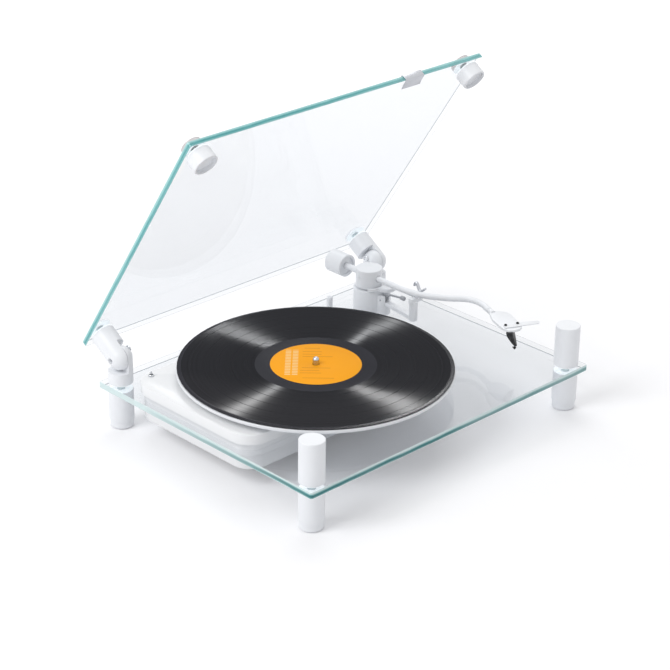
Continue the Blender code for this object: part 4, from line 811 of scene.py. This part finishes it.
# the cartridge: a hooked body under the shell, narrowing down to the needle; each step is x, y, z and its
# share of the first outline
cartridgeLook = {"size": (0.0088, 0.0076, 0.0008), "yaw": 24.0, "inset": 0.0078, "round": 0.0006,
                 "steps": ((0.0, 0.0, 0.0, 1.0), (0.0008, -0.0006, -0.0040, 1.0),
                           (0.0009, -0.0024, -0.0080, 0.85), (0.0, -0.0050, -0.0122, 0.60),
                           (-0.0012, -0.0074, -0.0152, 0.34))}


def makeCartridge():
    low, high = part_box("cartridge")
    clearSelection()
    bpy.ops.mesh.primitive_cube_add(size=1.0, location=(0.0, 0.0, 0.0))
    piece = bpy.context.object
    piece.scale = cartridgeLook["size"]
    bpy.ops.object.transform_apply(scale=True)
    pickFaces(piece, lambda centre, normal: normal.z < -0.9)
    before = cartridgeLook["steps"][0]
    for step in cartridgeLook["steps"][1:]:
        move = tuple(step[k] - before[k] for k in range(3))
        bpy.ops.mesh.extrude_region_move(TRANSFORM_OT_translate={"value": move})
        share = step[3] / before[3]
        bpy.ops.transform.resize(value=(share, share, 1.0))
        before = step
    bpy.ops.object.mode_set(mode="OBJECT")
    piece.location = (low.x + cartridgeLook["inset"], high.y - cartridgeLook["inset"],
                      high.z - cartridgeLook["size"][2] / 2)
    piece.rotation_euler = (0.0, 0.0, math.radians(cartridgeLook["yaw"]))
    eased = piece.modifiers.new("easedCorners", "BEVEL")
    eased.width = cartridgeLook["round"]
    eased.segments = 3
    eased.angle_limit = math.radians(30.0)
    finishPiece(piece, "cartridgeBody", "arm", blackMould, 40.0)
    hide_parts("cartridge")


makeCartridge()


# the finger grip on the lid's front edge: sheet folded over the glass, its inner leg a little open
gripLook = {"thick": 0.0009, "clear": 0.0004, "outer": 0.0110, "inner": 0.0135, "straight": 0.0080,
            "open": 0.0007,
            "fold": ((0.0012, 0.0), (0.0003, 0.0005), (0.0, 0.0014))}  # back from the crest, in from the leg


def makeLidGrip():
    low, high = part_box("finger_clip")
    across, forward = Vector(lidAcross), Vector(lidForward)
    half = gripLook["thick"] / 2
    lower, upper = min(lidPlaces) - gripLook["clear"] - half, max(lidPlaces) + gripLook["clear"] + half
    crest = max(forward.dot(v.co) for v in nodes["finger_clip"].data.vertices) - half
    path = [(crest - gripLook["outer"], upper)]
    path += [(crest - back, upper - drop) for back, drop in gripLook["fold"]]
    path += [(crest - back, lower + drop) for back, drop in reversed(gripLook["fold"])]
    path += [(crest - gripLook["straight"], lower), (crest - gripLook["inner"], lower - gripLook["open"])]
    points = [tuple(Vector((low.x, 0.0, 0.0)) + forward * a + across * b) for a, b in path]
    piece = bentStrip(points, (1.0, 0.0, 0.0), high.x - low.x, gripLook["thick"])
    finishPiece(piece, "lidGrip", "lid", stripSteel, 45.0)
    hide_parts("finger_clip")


makeLidGrip()
print("small fittings made")


# stage: pale paper that keeps the shadow, darker near the object by a painted shadow that runs out to white,
# with white behind it
stageLook = {"size": 30.0, "floor": "#F1F1F3", "near": 0.35, "far": 1.3, "nearLift": 0.10, "farLift": 0.27,
             "edge": (2.4, 5.0), "edgeLift": 0.20, "ambient": 0.62}


def makeSeen(tree):
    # 1 for rays that see the stage itself, in the picture or through and in the glass
    path = addNode(tree, "LightPath")
    seen = addNode(tree, "Math", {"operation": "MAXIMUM"},
                   {0: path.outputs["Is Camera Ray"], 1: path.outputs["Is Glossy Ray"]})
    return addNode(tree, "Math", {"operation": "MAXIMUM"},
                   {0: seen.outputs[0], 1: path.outputs["Is Transmission Ray"]})


def makeStage():
    clearSelection()
    bpy.ops.mesh.primitive_plane_add(size=stageLook["size"], location=(0.0, 0.0, 0.0))
    floor = bpy.context.object
    floor.name = "studioFloor"
    material, tree, output = newMaterial("studioPaper")
    seen = makeSeen(tree)
    # painted shadow: the paper's glow is lower near the object and runs out to white away from it
    place = addNode(tree, "TexCoord")
    away = addNode(tree, "VectorMath", {"operation": "LENGTH"}, {0: place.outputs["Object"]})
    level = addNode(tree, "MapRange", {"From Min": stageLook["near"], "From Max": stageLook["far"],
                                       "To Min": stageLook["nearLift"], "To Max": stageLook["farLift"]},
                    {"Value": away.outputs["Value"]})
    rest = addNode(tree, "MapRange", {"From Min": stageLook["edge"][0], "From Max": stageLook["edge"][1],
                                      "To Min": 0.0, "To Max": stageLook["edgeLift"]},
                   {"Value": away.outputs["Value"]})
    liftWithPaintedShadow = addNode(tree, "Math", {"operation": "ADD"},
                   {0: level.outputs["Result"], 1: rest.outputs["Result"]})
    lift = addNode(tree, "Math", {"operation": "MULTIPLY"}, {0: seen.outputs[0], 1: liftWithPaintedShadow.outputs[0]})
    paper = addNode(tree, "BsdfDiffuse", {"Color": linear(stageLook["floor"])})
    glow = addNode(tree, "Emission", {"Color": (1.0, 1.0, 1.0, 1.0)}, {"Strength": lift.outputs[0]})
    together = addNode(tree, "AddShader", {}, {0: paper.outputs[0], 1: glow.outputs[0]})
    tree.links.new(together.outputs[0], output.inputs["Surface"])
    floor.data.materials.append(material)

    world = bpy.data.worlds.new("studioWorld")
    bpy.context.scene.world = world
    world.use_nodes = True
    tree = world.node_tree
    tree.nodes.clear()
    seen = makeSeen(tree)
    strength = addNode(tree, "MapRange", {"To Min": stageLook["ambient"], "To Max": 1.0},
                       {"Value": seen.outputs[0]})
    sky = addNode(tree, "Background", {"Color": (1.0, 1.0, 1.0, 1.0)},
                  {"Strength": strength.outputs["Result"]})
    output = addNode(tree, "OutputWorld")
    tree.links.new(sky.outputs[0], output.inputs["Surface"])


# softboxes: a broad key at the left, a soft one above the rear right, and two small ones for the record
# alone, one for each pair of its fans
softboxes = {"keyLeft": {"place": (-1.9, 0.35, 1.9), "size": (1.3, 1.3), "power": 30.0, "only": None},
             "topSoft": {"place": (0.9, 0.9, 1.9), "size": (1.5, 1.5), "power": 15.0, "only": None},
             "fanLeft": {"place": (-1.09, 1.11, 1.82), "size": (0.34, 0.34), "power": 1150.0,
                         "only": "recordDisc"},
             "fanRight": {"place": (1.50, 0.23, 1.86), "size": (0.34, 0.34), "power": 540.0,
                          "only": "recordDisc"}}


def makeLights():
    for name, look in softboxes.items():
        data = bpy.data.lights.new(name, "AREA")
        data.shape = "RECTANGLE"
        data.size, data.size_y = look["size"]
        data.energy = look["power"]
        lamp = bpy.data.objects.new(name, data)
        bpy.context.scene.collection.objects.link(lamp)
        if look["only"]:
            group = bpy.data.collections.new(name + "Receivers")
            group.objects.link(bpy.data.objects[look["only"]])
            lamp.light_linking.receiver_collection = group
        aim = Vector((0.0, 0.0, 0.06)) - Vector(look["place"])
        turn = aim.to_track_quat("-Z", "Y").to_matrix().to_4x4()
        lamp.matrix_world = Matrix.Translation(look["place"]) @ turn


makeStage()
makeLights()
bpy.context.scene.view_settings.view_transform = "Standard"
print("stage and lights made")
